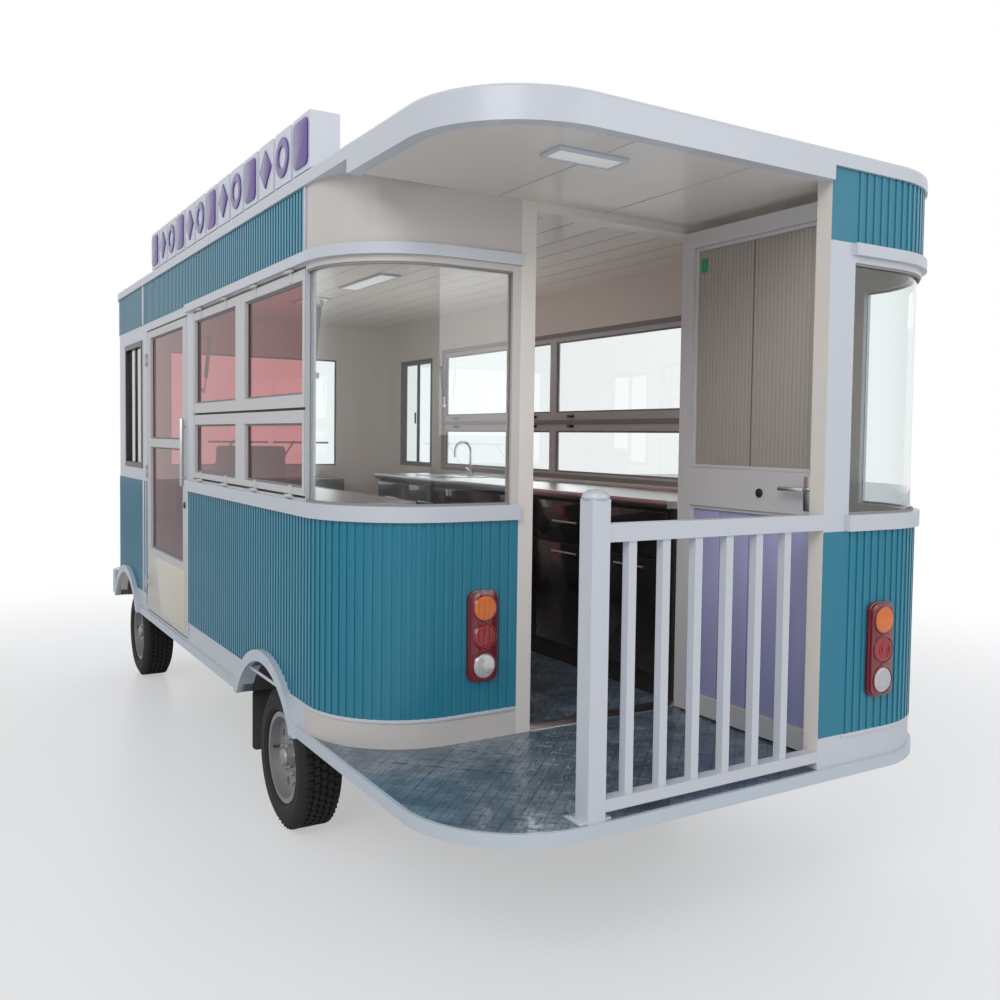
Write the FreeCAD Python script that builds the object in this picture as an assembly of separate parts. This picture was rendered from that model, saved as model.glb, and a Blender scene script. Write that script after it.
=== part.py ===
"""Electric vending van with a rear porch: one STEP file for each sub-part.

Millimetres.  +X points forward, +Y to the van's left, +Z up.  The origin is on the ground, below the
centre of the whole van.  Stations are distances forward from the rear edge of the deck.
"""
import FreeCAD, Part
import math
import os

V = FreeCAD.Vector

# ---- whole van ---------------------------------------------------------------------------------
BODY_LENGTH = 5200.0        # deck and roof, rear edge to front edge
BUMPER_PROUD = 50.0         # front bumper ahead of the deck
WIDTH = 2000.0              # deck and roof
CORNER_R = 380.0            # plan corners of deck, roof and walls
DECK_BOTTOM = 472.0
DECK_TOP = 512.0
ROOF_UNDER = 2433.0
ROOF_TOP = 2483.0
ROOF_EDGE_R = 14.0          # rounding of the roof's top edge

# ---- walls -------------------------------------------------------------------------------------
WALL = 40.0                 # thickness of side, front and corner walls
WALL_INSET = 12.0           # wall face behind the edge of deck and roof
REAR_WALL = 80.0            # thickness of the wall between porch and cabin
PORCH_DEPTH = 822.0         # station of the cabin's rear wall
CORNER_END = 1225.0         # station where the rounded cabin corner meets the side wall
CAB_SEAM = 4066.0           # station of the joint between side wall and cab wall
BELT_BOTTOM = 1279.0
BELT_TOP = 1332.0
LEDGE_PROUD = 18.0          # belt and head ledges beyond the wall face
LEDGE_STOP = 20.0           # left ledges end this far behind the entry door
GLASS_TOP = 2144.0          # top of the corner glass
HEAD_BOTTOM = 2166.0        # underside of the ledge over the windows
HEAD_TOP = 2204.0
PANE = 6.0                  # glass thickness
PANE_INSET = 15.0           # fixed glass behind the wall face
DECK_TRIM = 12.0            # thickness of the strip round the deck

# ---- porch -------------------------------------------------------------------------------------
FASCIA_BOTTOM = 2387.0
FASCIA_WALL = 45.0
CEILING_UNDER = 2395.0
DOORWAY_TOP = 2366.0
DOORWAY_RIGHT = -450.0
DOORWAY_SLACK = 18.0        # doorway wider than its door
REAR_DOOR_CLEAR = 98.0      # open door's free edge ahead of the deck's rear edge
REAR_DOOR_WIDTH = PORCH_DEPTH - REAR_DOOR_CLEAR
LEFT_POST_W = 60.0
LEFT_POST_INNER = DOORWAY_RIGHT + REAR_DOOR_WIDTH + DOORWAY_SLACK
LEFT_POST_Y = (LEFT_POST_INNER, LEFT_POST_INNER + LEFT_POST_W)      # between doorway and corner glass
LEFT_GLASS_Y = LEFT_POST_Y[1] + 33.0        # right edge of the left corner glass
RIGHT_POST_Y = (-397.0, -292.0)   # post at the rear edge
RIGHT_POST_DEPTH = 60.0
RIGHT_GLASS_Y = RIGHT_POST_Y[0] - 12.0      # left edge of the right corner glass
RIGHT_GLASS_END = 420.0           # station where the right corner glass ends
RAILING = (14.0, 54.0)            # stations of the porch railing's faces
RAILING_POST_Y = (554.0, 614.0)
RAILING_POST_TOP = 1404.0
RAILING_POST_PROUD = (4.0, 16.0)  # its post beyond its rails, behind and ahead
RAILING_TOP_Z = (1285.0, 1335.0)
RAILING_LOW_Z = (535.0, 570.0)
BAR_COUNT = 6
BAR_PITCH = 122.0
BAR_W = 28.0
BAR_SINK = 6.0                    # bars behind the rails' faces
FIRST_BAR = 87.0                  # middle of the first bar from the post

# ---- hinged panels -----------------------------------------------------------------------------
PANEL_T = 30.0              # thickness of flaps and of the entry door
PANEL_GAP = 10.0            # running gap round flaps and doors
HINGE_PROUD = 8.0           # hinge axis outside the wall face
FLAP_SPLIT = 1660.0         # height of the joint between upper and lower flap
FLAP_TOP = 2150.0
FLAP_BOTTOM = 1350.0
FLAP_RAIL_TOP = 37.0        # frame widths round the panes
FLAP_RAIL_MID = 46.0
FLAP_RAIL_LOW = 26.0
FLAP_STILE = 25.0
MULLION = 138.0
LEFT_FLAP = (1238.0, 2850.0)      # stations
RIGHT_FLAP = (1238.0, 3955.0)
RIGHT_MULLION = 62.0
ENTRY_DOOR = (2990.0, 3965.0)
ENTRY_BOTTOM = 530.0
ENTRY_TOP = 2150.0
ENTRY_PANES = ((901.0, 1486.0), (1533.0, 2111.0))
ENTRY_STILE = 90.0
REAR_DOOR_T = 70.0
REAR_DOOR_Z = (520.0, 2358.0)
REAR_DOOR_RAIL = 60.0
REAR_DOOR_RECESS = 20.0     # infill panels behind the frame's faces
REAR_DOOR_MID = (1320.0, 1462.0)
CAB_WINDOW = (4110.0, 4650.0)     # stations
CAB_WINDOW_Z = (1351.0, 2117.0)
CAB_FRAME = 32.0
CAB_FRAME_PROUD = 4.0       # cab window frames beyond the wall face
WINDSCREEN_HALF = 600.0

# ---- hinges and struts -------------------------------------------------------------------------
HINGE_R = 6.5               # barrel of a hinge
HINGE_PIN_R = 3.0
HINGE_LEAF = 40.0           # reach of the moving leaf
HINGE_LEAF_T = 3.0
HINGE_HALF = 15.0           # half the length of the moving barrel
HINGE_SIDE = 20.0           # length of each fixed barrel beside it
HINGE_SLIP = 1.0            # gap between the barrels
FLAP_HINGES = 4
FLAP_HINGE_MARGIN = 150.0   # first and last hinge from the flap's ends
ENTRY_HINGE_MARGIN = 160.0
REAR_HINGE_MARGIN = 180.0
DOOR_HINGES = 3
STRUT_TUBE_R = 9.0
STRUT_ROD_R = 4.0
STRUT_INSET = 45.0          # strut to the end of the flap
STRUT_FOOT = (-78.0, -120.0)      # fixed pin from the flap hinge: outwards, upwards
STRUT_HEAD = (-55.0, -380.0)      # moving pin from the flap hinge, flap shut
STRUT_TUBE = 200.0
STRUT_EYE_R = 8.0
STRUT_FOOT_EYE_R = 11.0
STRUT_FOOT_EYE_T = 22.0
STRUT_EYE_T = 10.0
STRUT_BASE = 14.0           # solid foot of the tube
BRACKET_T = 4.0
FOOT_BRACKET = (10.0, 12.0)       # past the fixed pin: inwards, and up or down
FOOT_BRACKET_BASE = 35.0          # its base on the wall beyond the opening
HEAD_BRACKET = (8.0, 10.0)        # past the moving pin: inwards, and up or down
HEAD_BRACKET_EDGE = 2.0           # it stands this far inside the flap's end
SEAT = 0.3                  # gap between a strut's eye and its bracket

# ---- running gear ------------------------------------------------------------------------------
WHEEL_R = 280.0
TYRE_WIDTH = 175.0
RIM_R = 165.0
RIM_LIP = 14.0
RIM_WIDTH = 146.0
RIM_T = 5.0
TYRE_SHOULDER = 24.0
RIM_SEAT = 2.0              # tyre clear of the rim's lips
DISC = (28.0, 36.0)         # wheel disc, from the wheel's middle plane outwards
HUB = (10.0, 54.0)
HUB_R = 48.0
VENTS = 10
VENT_R = 16.0
VENT_CIRCLE = 118.0
HALF_TRACK = 852.0
REAR_AXLE = 1664.0          # station
FRONT_OVERHANG = 640.0      # front axle behind the deck's front edge
FRONT_AXLE = BODY_LENGTH - FRONT_OVERHANG
ARCH_R = 390.0
FLARE = 45.0                # width of the arch trim
FLARE_PROUD = 26.0
HOUSING_T = 5.0
HOUSING_INNER_Y = 600.0
HOUSING_CLEAR = 1.0         # counters clear of the wheel housings
KINGPIN_Y = 780.0
KINGPIN_R = 12.0
KNUCKLE_CLEAR = 0.5         # ears above and below the beam's eye
KNUCKLE_EAR = 18.0
KNUCKLE_PLATE = (36.0, 12.0)      # upright plate: outside the kingpin, and its thickness
KNUCKLE_HALF = 40.0         # half the plate along the van
EAR_HALF = 26.0
EAR_R = 28.0
BEAM_EYE_R = 30.0
BEAM_HALF = 24.0            # half the height of the front beam and its eyes
SPINDLE_R = 20.0
SPINDLE_REACH = 62.0        # spindle past the wheel's middle plane
FIT = 0.05                  # radial running clearance
AXLE_TUBE_R = 36.0
AXLE_TUBE_HALF = 740.0
AXLE_CASE_R = 120.0         # round case in the middle of the rear axle
SPRING_HALF = 420.0
SPRING_W = 50.0
SPRING_DROP = 78.0          # underside of the springs below the frame
SPRING_T = 24.0
CLAMP = (50.0, 32.0)        # half sizes of the spring clamps: along and across the van
CLAMP_UNDER = 30.0          # clamp below the wheel's centre
CLAMP_OVER = 8.0            # clamp above the spring
HANGER = 40.0
RAIL_Y = 500.0
RAIL_W = 60.0
RAIL_H = 90.0
CHASSIS_END = 220.0         # frame short of the deck's ends
CROSS_MEMBERS = (800.0, 2050.0, 2900.0, 3800.0)      # stations
BATTERY = (2980.0, 3780.0)        # stations
BATTERY_UNDER = 230.0
BATTERY_GAP = 20.0          # battery box clear of the rails

# ---- lamps, bumper and sign --------------------------------------------------------------------
LAMP_DEPTH = 34.0           # tail lamps beyond the wall face
LAMP_W = 115.0
LAMP_Z = (720.0, 1039.0)
LAMP_EDGE_R = 12.0
LEFT_LAMP = 87.0            # left lamp outside the left post
RIGHT_LAMP = 114.0          # right lamp outside the right post
HEADLAMP_R = 95.0
HEADLAMP_Y = 500.0
HEADLAMP_Z = 860.0
BUMPER_Z = (486.0, 640.0)
BUMPER_WRAP = 0.75          # share of the front corner that the bumper follows
FLARE_CLEAR = 1.0           # bumper short of the front arch trim
SIGN = (1200.0, 3870.0)     # stations
SIGN_EDGE = 20.0            # sign inside the roof's edge
SIGN_DEPTH = 110.0
SIGN_BLOCKS = 13
SIGN_GAP = 14.0             # each block short of its share of the rail, at both ends
SIGN_RAIL_H = 14.0
SIGN_RAIL_INSET = 30.0      # rail inside the blocks' faces
SIGN_H = 200.0

# ---- cabin fittings ----------------------------------------------------------------------------
COUNTER_TOP = 1320.0
WORKTOP_T = 30.0
WORKTOP_PROUD = (30.0, 10.0)      # worktops beyond the counters: into the aisle, and forward
RIGHT_COUNTER_END = 3850.0        # stations
LEFT_COUNTER_END = 2900.0
RIGHT_COUNTER_DEPTH = 548.0
LEFT_COUNTER_DEPTH = 388.0
LEFT_COUNTER_GAP = 40.0           # left counter clear of the side wall
DASH_DEPTH = 300.0
DASH_HALF = 560.0
DASH_Z = (900.0, 1240.0)
SEAT_STATION = 4000.0             # front of the seat's back
SEAT_Y = 380.0
SEAT_BASE = (420.0, 180.0, 790.0)         # length, half width, top
CUSHION = (20.0, 460.0, 230.0, 930.0)     # behind and ahead of the station, half width, top
SEAT_BACK = (120.0, 220.0, 800.0, 1500.0) # depth, half width, foot, top
HUB_BACK = 420.0            # steering wheel's hub behind the dashboard's front
HUB_Z = 1220.0
COLUMN_WAY = (-0.5, 0.0, 0.866)   # steering column's direction, towards the driver
COLUMN_R = 18.0
COLUMN_LENGTH = 330.0
COLUMN_HOLE = 400.0
STEERING_R = 185.0
STEERING_GRIP_R = 14.0
STEERING_SPOKE_R = 9.0
STEERING_BOSS = (45.0, 30.0)      # radius and depth

REAR_PROUD = LAMP_DEPTH - WALL_INSET
FRONT = BODY_LENGTH / 2 + (REAR_PROUD - BUMPER_PROUD) / 2
REAR = FRONT - BODY_LENGTH
HALF = WIDTH / 2
FACE = HALF - WALL_INSET            # outer face of the side walls
INNER = FACE - WALL                 # inner face of the side walls
HINGE_Y = FACE + HINGE_PROUD
PORCH_X = REAR + PORCH_DEPTH


def station(distance):
    """X of a point this far forward of the deck's rear edge."""
    return REAR + distance


def box(x0, x1, y0, y1, z0, z1):
    """A block between two opposite corners."""
    return Part.makeBox(x1 - x0, y1 - y0, z1 - z0, V(x0, y0, z0))


def rod(radius, start, end):
    """A round bar between two points."""
    way = V(*end) - V(*start)
    return Part.makeCylinder(radius, way.Length, V(*start), way)


def fuse(shapes):
    """One solid from several that touch."""
    return shapes[0].multiFuse(shapes[1:]).removeSplitter()


def group(shapes):
    """Separate solids that share a node."""
    return Part.makeCompound(shapes)


def mirrored(shape):
    """The same piece on the other side of the van."""
    return shape.mirror(V(0, 0, 0), V(0, 1, 0))


def save(shape, name):
    """Write one sub-part."""
    shape.exportStep("parts/" + name + ".step")
    print(name, len(shape.Solids), "solids", round(shape.Volume / 1e6, 2), "litres")


def rounded(x0, x1, y0, y1, z0, z1, rear_left, rear_right, front_left, front_right):
    """A block whose four upright edges are rounded, each with its own radius."""
    shape = box(x0, x1, y0, y1, z0, z1)
    corners = ((x0, y1, rear_left), (x0, y0, rear_right), (x1, y1, front_left), (x1, y0, front_right))
    for x, y, radius in corners:
        if radius > 0:
            edges = [e for e in shape.Edges
                     if all(abs(v.X - x) < 0.01 and abs(v.Y - y) < 0.01 for v in e.Vertexes)]
            shape = shape.makeFillet(radius, edges)
    return shape


def outline(inset, z0, z1):
    """The van's whole plan, moved inwards by an inset and given height."""
    r = CORNER_R - inset
    half = HALF - inset
    return rounded(REAR + inset, FRONT - inset, -half, half, z0, z1, r, r, r, r)


def outline_ring(outer, inner, z0, z1):
    """A strip that follows the van's whole plan."""
    return outline(outer, z0, z1).cut(outline(inner, z0, z1))


def cabin(inset, z0, z1):
    """The closed cabin's plan: its rear left corner is rounded and its rear right one is square."""
    r = CORNER_R - inset
    half = HALF - inset
    back = PORCH_X + inset - WALL_INSET
    return rounded(back, FRONT - inset, -half, half, z0, z1, r, 0, r, r)


def cabin_ring(outer, inner, z0, z1):
    """A strip that follows the cabin's plan."""
    return cabin(outer, z0, z1).cut(cabin(inner, z0, z1))


def arch_cutter(axle, radius):
    """A bar as long as the van is wide, to cut the wheel arches."""
    return rod(radius, (station(axle), -WIDTH, WHEEL_R), (station(axle), WIDTH, WHEEL_R))


def all_arches(radius):
    """Cutters for both axles' arches."""
    return fuse([arch_cutter(REAR_AXLE, radius), arch_cutter(FRONT_AXLE, radius)])


# ---- deck, chassis and roof --------------------------------------------------------------------
def make_deck():
    """The floor and the strip round its edge, both cut out over the wheels."""
    housings = []
    for axle in (REAR_AXLE, FRONT_AXLE):
        for side in (1, -1):
            low, high = sorted((side * (HOUSING_INNER_Y - HOUSING_T), side * WIDTH))
            housings.append(rod(ARCH_R + HOUSING_T, (station(axle), low, WHEEL_R),
                                (station(axle), high, WHEEL_R)))
    deck = outline(DECK_TRIM, DECK_BOTTOM, DECK_TOP)
    trim = outline_ring(0, DECK_TRIM, DECK_BOTTOM, DECK_TOP)
    for housing in housings:
        deck = deck.cut(housing)
        trim = trim.cut(housing)
    save(deck, "floor_deck")
    save(trim, "deck_edge")


def make_chassis():
    """The ladder frame under the floor."""
    top = DECK_BOTTOM
    low = top - RAIL_H
    pieces = []
    for side in (1, -1):
        y = side * RAIL_Y
        pieces.append(box(station(CHASSIS_END), station(BODY_LENGTH - CHASSIS_END),
                          y - RAIL_W / 2, y + RAIL_W / 2, low, top))
    for member in (CHASSIS_END, *CROSS_MEMBERS, BODY_LENGTH - CHASSIS_END - RAIL_W):
        pieces.append(box(station(member), station(member) + RAIL_W, -RAIL_Y, RAIL_Y, low, top))
    save(fuse(pieces), "chassis_frame")


def make_roof():
    """The roof with its fascia round the porch, and the ceilings under it."""
    panel = outline(0, ROOF_UNDER, ROOF_TOP)
    rim = [e for e in panel.Edges if all(abs(v.Z - ROOF_TOP) < 0.01 for v in e.Vertexes)]
    panel = panel.makeFillet(ROOF_EDGE_R, rim)
    porch = box(REAR, PORCH_X, -HALF, HALF, FASCIA_BOTTOM, ROOF_UNDER)
    fascia = outline_ring(0, FASCIA_WALL, FASCIA_BOTTOM, ROOF_UNDER).common(porch)
    fascia = fascia.cut(box(REAR, FRONT, -HALF, RIGHT_POST_Y[1], FASCIA_BOTTOM, ROOF_UNDER))
    save(fuse([panel, fascia]), "roof")
    ceiling = outline(FASCIA_WALL, CEILING_UNDER, ROOF_UNDER)
    ceiling = ceiling.common(box(REAR, PORCH_X, RIGHT_POST_Y[1], HALF, 0, ROOF_TOP))
    behind = outline(WALL_INSET + WALL, CEILING_UNDER, ROOF_UNDER)
    behind = behind.common(box(REAR + WALL_INSET + RIGHT_POST_DEPTH, PORCH_X, -HALF, RIGHT_POST_Y[1],
                               0, ROOF_TOP))
    inside = cabin(WALL_INSET + WALL, CEILING_UNDER, ROOF_UNDER)
    inside = inside.cut(box(PORCH_X, PORCH_X + REAR_WALL, -HALF, HALF, 0, ROOF_TOP))
    save(group([fuse([ceiling, behind]), inside]), "ceiling_panels")


# ---- walls -------------------------------------------------------------------------------------
def service_opening(stations, side):
    """A block that cuts the opening behind one side's flaps."""
    low, high = sorted((side * INNER, side * FACE))
    return box(station(stations[0]) - PANEL_GAP, station(stations[1]) + PANEL_GAP, low, high,
               FLAP_BOTTOM - PANEL_GAP, FLAP_TOP + PANEL_GAP)


def make_walls():
    """The outer walls, split where the real panels meet, and the wall between porch and cabin."""
    shell = cabin_ring(WALL_INSET, WALL_INSET + WALL, DECK_TOP, ROOF_UNDER).cut(all_arches(ARCH_R))
    side_zone = (station(CORNER_END), station(CAB_SEAM))
    left = shell.common(box(*side_zone, 0, HALF, 0, ROOF_TOP))
    left = left.cut(service_opening(LEFT_FLAP, 1))
    left = left.cut(box(station(ENTRY_DOOR[0]) - PANEL_GAP, station(ENTRY_DOOR[1]) + PANEL_GAP,
                        INNER, FACE, ENTRY_BOTTOM - PANEL_GAP, ENTRY_TOP + PANEL_GAP))
    save(left, "left_side_wall")
    right = shell.common(box(*side_zone, -HALF, 0, 0, ROOF_TOP))
    right = right.cut(service_opening(RIGHT_FLAP, -1))
    save(right, "right_side_wall")

    corner_x = FRONT - CORNER_R
    cab = shell.common(box(station(CAB_SEAM), corner_x, -HALF, HALF, 0, ROOF_TOP))
    window = box(station(CAB_WINDOW[0]), station(CAB_WINDOW[1]), -HALF, HALF, *CAB_WINDOW_Z)
    save(cab.cut(window), "cab_walls")
    nose = shell.common(box(corner_x, FRONT, -HALF, HALF, 0, ROOF_TOP))
    screen = box(corner_x, FRONT, -WINDSCREEN_HALF, WINDSCREEN_HALF, BELT_TOP, GLASS_TOP)
    save(nose.cut(screen), "front_wall")

    corner = shell.common(box(PORCH_X, station(CORNER_END), LEFT_POST_Y[1], HALF, 0, ROOF_TOP))
    corner = corner.cut(box(PORCH_X, station(CORNER_END), LEFT_GLASS_Y, HALF, BELT_TOP, GLASS_TOP))
    save(corner, "rear_left_corner")

    divider = box(PORCH_X, PORCH_X + REAR_WALL, -INNER, LEFT_POST_Y[1], DECK_TOP, ROOF_UNDER)
    doorway = box(PORCH_X, PORCH_X + REAR_WALL, DOORWAY_RIGHT, LEFT_POST_Y[0], DECK_TOP, DOORWAY_TOP)
    save(divider.cut(doorway), "cabin_rear_wall")

    full = outline_ring(WALL_INSET, WALL_INSET + WALL, DECK_TOP, ROOF_UNDER)
    tail = full.common(box(REAR, station(CORNER_END), -HALF, RIGHT_POST_Y[1], 0, ROOF_TOP))
    tail = tail.cut(all_arches(ARCH_R))
    glass = box(REAR, station(RIGHT_GLASS_END), -HALF, RIGHT_GLASS_Y, BELT_TOP, GLASS_TOP)
    post = box(REAR + WALL_INSET, REAR + WALL_INSET + RIGHT_POST_DEPTH, *RIGHT_POST_Y, DECK_TOP, ROOF_UNDER)
    save(fuse([tail.cut(glass), post]), "rear_right_corner")


def make_ledges():
    """The white ledges under and over the windows, each a strip that stands out of the wall face."""
    proud = WALL_INSET - LEDGE_PROUD
    pieces = []
    for z0, z1 in ((BELT_BOTTOM, BELT_TOP), (HEAD_BOTTOM, HEAD_TOP)):
        left = cabin_ring(proud, WALL_INSET, z0, z1)
        left = left.common(box(PORCH_X - LEDGE_PROUD, station(ENTRY_DOOR[0]) - LEDGE_STOP,
                               LEFT_POST_Y[1], 2 * HALF, z0, z1))
        right = outline_ring(proud, WALL_INSET, z0, z1)
        right = right.common(box(REAR - LEDGE_PROUD, station(CAB_SEAM), -2 * HALF, RIGHT_POST_Y[0], z0, z1))
        pieces += [left, right]
    save(group(pieces), "body_ledges")


def make_fixed_glass():
    """Both rounded corner panes, the windscreen, and the cab's side windows in their frames."""
    outer = WALL_INSET + PANE_INSET
    left = cabin_ring(outer, outer + PANE, BELT_TOP, GLASS_TOP)
    left = left.common(box(PORCH_X, station(CORNER_END), LEFT_GLASS_Y, HALF, 0, ROOF_TOP))
    right = outline_ring(outer, outer + PANE, BELT_TOP, GLASS_TOP)
    right = right.common(box(REAR, station(RIGHT_GLASS_END), -HALF, RIGHT_GLASS_Y, 0, ROOF_TOP))
    save(group([left, right]), "corner_glass")
    screen = cabin_ring(outer, outer + PANE, BELT_TOP, GLASS_TOP)
    screen = screen.common(box(FRONT - CORNER_R, FRONT, -WINDSCREEN_HALF, WINDSCREEN_HALF, 0, ROOF_TOP))
    save(screen, "windscreen")
    x0, x1 = station(CAB_WINDOW[0]), station(CAB_WINDOW[1])
    z0, z1 = CAB_WINDOW_Z
    proud = FACE + CAB_FRAME_PROUD
    frame = box(x0, x1, INNER, proud, z0, z1)
    frame = frame.cut(box(x0 + CAB_FRAME, x1 - CAB_FRAME, INNER, proud, z0 + CAB_FRAME, z1 - CAB_FRAME))
    pane = box(x0 + CAB_FRAME, x1 - CAB_FRAME, FACE - PANE_INSET - PANE, FACE - PANE_INSET,
               z0 + CAB_FRAME, z1 - CAB_FRAME)
    save(group([frame, mirrored(frame)]), "cab_window_frames")
    save(group([pane, mirrored(pane)]), "cab_window_glass")


# ---- flaps, struts and doors -------------------------------------------------------------------
def place(shape, origin, along, outwards, to_wall):
    """Put a piece made at the origin, with X along a hinge, Y outwards and Z to the wall, in its place."""
    turn = FreeCAD.Rotation(V(*along), V(*outwards), V(*to_wall), "XYZ")
    moved = shape.copy()
    moved.Placement = FreeCAD.Placement(V(*origin), turn)
    return moved


def hinge_moving():
    """The hinge leaf and barrel that a flap or door carries."""
    ends = ((-HINGE_HALF, 0, 0), (HINGE_HALF, 0, 0))
    leaf = box(-HINGE_HALF, HINGE_HALF, -HINGE_PROUD, -HINGE_PROUD + HINGE_LEAF_T, -HINGE_LEAF, 0)
    return fuse([rod(HINGE_R, *ends), leaf]).cut(rod(HINGE_PIN_R + FIT, *ends))


def hinge_fixed(reach):
    """The wall's half of a hinge, with its pin; its leaves reach this far onto the wall."""
    near = HINGE_HALF + HINGE_SLIP
    far = near + HINGE_SIDE
    pieces = [rod(HINGE_PIN_R, (-far, 0, 0), (far, 0, 0))]
    for low in (-far, near):
        pieces.append(rod(HINGE_R, (low, 0, 0), (low + HINGE_SIDE, 0, 0)))
        pieces.append(box(low, low + HINGE_SIDE, -HINGE_PROUD, -HINGE_PROUD + HINGE_LEAF_T, 0, reach))
    return fuse(pieces)


def spread(low, high, margin, count):
    """Evenly spaced places between two ends."""
    step = (high - low - 2 * margin) / (count - 1)
    return [low + margin + step * number for number in range(count)]


def flap(stations, z0, z1, low_rail, high_rail, mullion, hinged_high):
    """A hinged two-pane window on the left side: its frame, its glass and the wall's hinge halves."""
    x0, x1 = station(stations[0]), station(stations[1])
    y0, y1 = FACE - PANEL_T, FACE
    frame = box(x0, x1, y0, y1, z0, z1)
    middle = (x0 + x1) / 2
    spans = ((x0 + FLAP_STILE, middle - mullion / 2), (middle + mullion / 2, x1 - FLAP_STILE))
    panes = []
    for a, b in spans:
        frame = frame.cut(box(a, b, y0, y1, z0 + low_rail, z1 - high_rail))
        panes.append(box(a, b, FACE - PANE_INSET - PANE, FACE - PANE_INSET, z0 + low_rail, z1 - high_rail))
    fixed = []
    for x in spread(x0, x1, FLAP_HINGE_MARGIN, FLAP_HINGES):
        if hinged_high:
            seat = ((x, HINGE_Y, z1 + HINGE_PROUD), (1, 0, 0), (0, 1, 0), (0, 0, 1))
        else:
            seat = ((x, HINGE_Y, z0 - HINGE_PROUD), (-1, 0, 0), (0, 1, 0), (0, 0, -1))
        frame = fuse([frame, place(hinge_moving(), *seat)])
        reach = HINGE_PROUD if hinged_high else z0 - HINGE_PROUD - BELT_TOP
        fixed.append(place(hinge_fixed(reach), *seat))
    return frame, group(panes), fixed


def struts(stations):
    """The two gas struts of a left upper flap with their brackets: tubes, rods, wall and flap brackets."""
    hinge_z = FLAP_TOP + HINGE_PROUD
    foot = V(0, HINGE_Y + STRUT_FOOT[0], hinge_z + STRUT_FOOT[1])
    head = V(0, HINGE_Y + STRUT_HEAD[0], hinge_z + STRUT_HEAD[1])
    way = (head - foot).normalize()
    tubes, rods, wall_side, flap_side = [], [], [], []
    for edge, inwards in ((station(stations[0]), 1), (station(stations[1]), -1)):
        shift = V(edge + inwards * STRUT_INSET, 0, 0)
        eye = V(inwards * STRUT_EYE_T, 0, 0)
        start, end = foot + shift, head + shift
        tube = Part.makeCylinder(STRUT_TUBE_R, STRUT_TUBE, start, way)
        foot_eye = V(inwards * STRUT_FOOT_EYE_T, 0, 0)
        boss = Part.makeCylinder(STRUT_FOOT_EYE_R, STRUT_FOOT_EYE_T, start - foot_eye / 2, foot_eye)
        tube = fuse([tube, boss])
        inside = start + way * STRUT_BASE
        tubes.append(tube.cut(Part.makeCylinder(STRUT_ROD_R + FIT, STRUT_TUBE, inside, way)))
        stem = Part.makeCylinder(STRUT_ROD_R, (end - inside).Length, inside + way, way)
        rods.append(fuse([stem, Part.makeCylinder(STRUT_EYE_R, STRUT_EYE_T, end - eye / 2, eye)]))
        past, rise = FOOT_BRACKET
        near = edge + inwards * (STRUT_INSET - STRUT_FOOT_EYE_T / 2 - SEAT)
        low, high = sorted((near, near - inwards * BRACKET_T))
        base = edge - inwards * (PANEL_GAP + FOOT_BRACKET_BASE)
        base_low, base_high = sorted((base, near))
        wall_side.append(fuse([
            box(low, high, foot.y - past, INNER, foot.z - rise, foot.z + rise),
            box(base_low, base_high, INNER - BRACKET_T, INNER, foot.z - rise, foot.z + rise)]))
        past, rise = HEAD_BRACKET
        near = edge + inwards * (STRUT_INSET - STRUT_EYE_T / 2 - SEAT)
        low, high = sorted((near, edge + inwards * HEAD_BRACKET_EDGE))
        flap_side.append(box(low, high, head.y - past, FACE - PANEL_T, head.z - rise, head.z + rise))
    return tubes, rods, wall_side, flap_side


def make_flaps():
    """Both sides' flaps, and every fixed hinge half and strut bracket in one node."""
    gap = PANEL_GAP / 2
    fixed = []
    sides = ((1, "left", LEFT_FLAP, MULLION), (-1, "right", RIGHT_FLAP, RIGHT_MULLION))
    for side, word, stations, mullion in sides:
        upper, upper_glass, upper_fixed = flap(stations, FLAP_SPLIT + gap, FLAP_TOP, FLAP_RAIL_MID,
                                               FLAP_RAIL_TOP, mullion, True)
        lower, lower_glass, lower_fixed = flap(stations, FLAP_BOTTOM, FLAP_SPLIT - gap, FLAP_RAIL_LOW,
                                               FLAP_RAIL_MID, mullion, False)
        tubes, rods, wall_side, flap_side = struts(stations)
        upper = fuse([upper] + flap_side)
        nodes = {"_upper_flap": upper, "_upper_flap_glass": upper_glass, "_lower_flap": lower,
                 "_lower_flap_glass": lower_glass, "_strut_tubes": group(tubes), "_strut_rods": group(rods)}
        for tail, shape in nodes.items():
            save(shape if side > 0 else mirrored(shape), word + tail)
        fittings = upper_fixed + lower_fixed + wall_side
        fixed += fittings if side > 0 else [mirrored(piece) for piece in fittings]
    fixed += make_entry_door() + make_rear_door()
    save(group(fixed), "hinge_halves")


def make_entry_door():
    """The left entry door, hung at its front edge; returns the wall's hinge halves."""
    x0, x1 = station(ENTRY_DOOR[0]), station(ENTRY_DOOR[1])
    y0, y1 = FACE - PANEL_T, FACE
    leaf = box(x0, x1, y0, y1, ENTRY_BOTTOM, ENTRY_TOP)
    panes = []
    for z0, z1 in ENTRY_PANES:
        leaf = leaf.cut(box(x0 + ENTRY_STILE, x1 - ENTRY_STILE, y0, y1, z0, z1))
        panes.append(box(x0 + ENTRY_STILE, x1 - ENTRY_STILE, FACE - PANE_INSET - PANE, FACE - PANE_INSET,
                         z0, z1))
    fixed = []
    for z in spread(ENTRY_BOTTOM, ENTRY_TOP, ENTRY_HINGE_MARGIN, DOOR_HINGES):
        seat = ((x1 + HINGE_PROUD, HINGE_Y, z), (0, 0, -1), (0, 1, 0), (1, 0, 0))
        leaf = fuse([leaf, place(hinge_moving(), *seat)])
        fixed.append(place(hinge_fixed(HINGE_LEAF), *seat))
    save(leaf, "entry_door")
    save(group(panes), "entry_door_glass")
    return fixed


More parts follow.
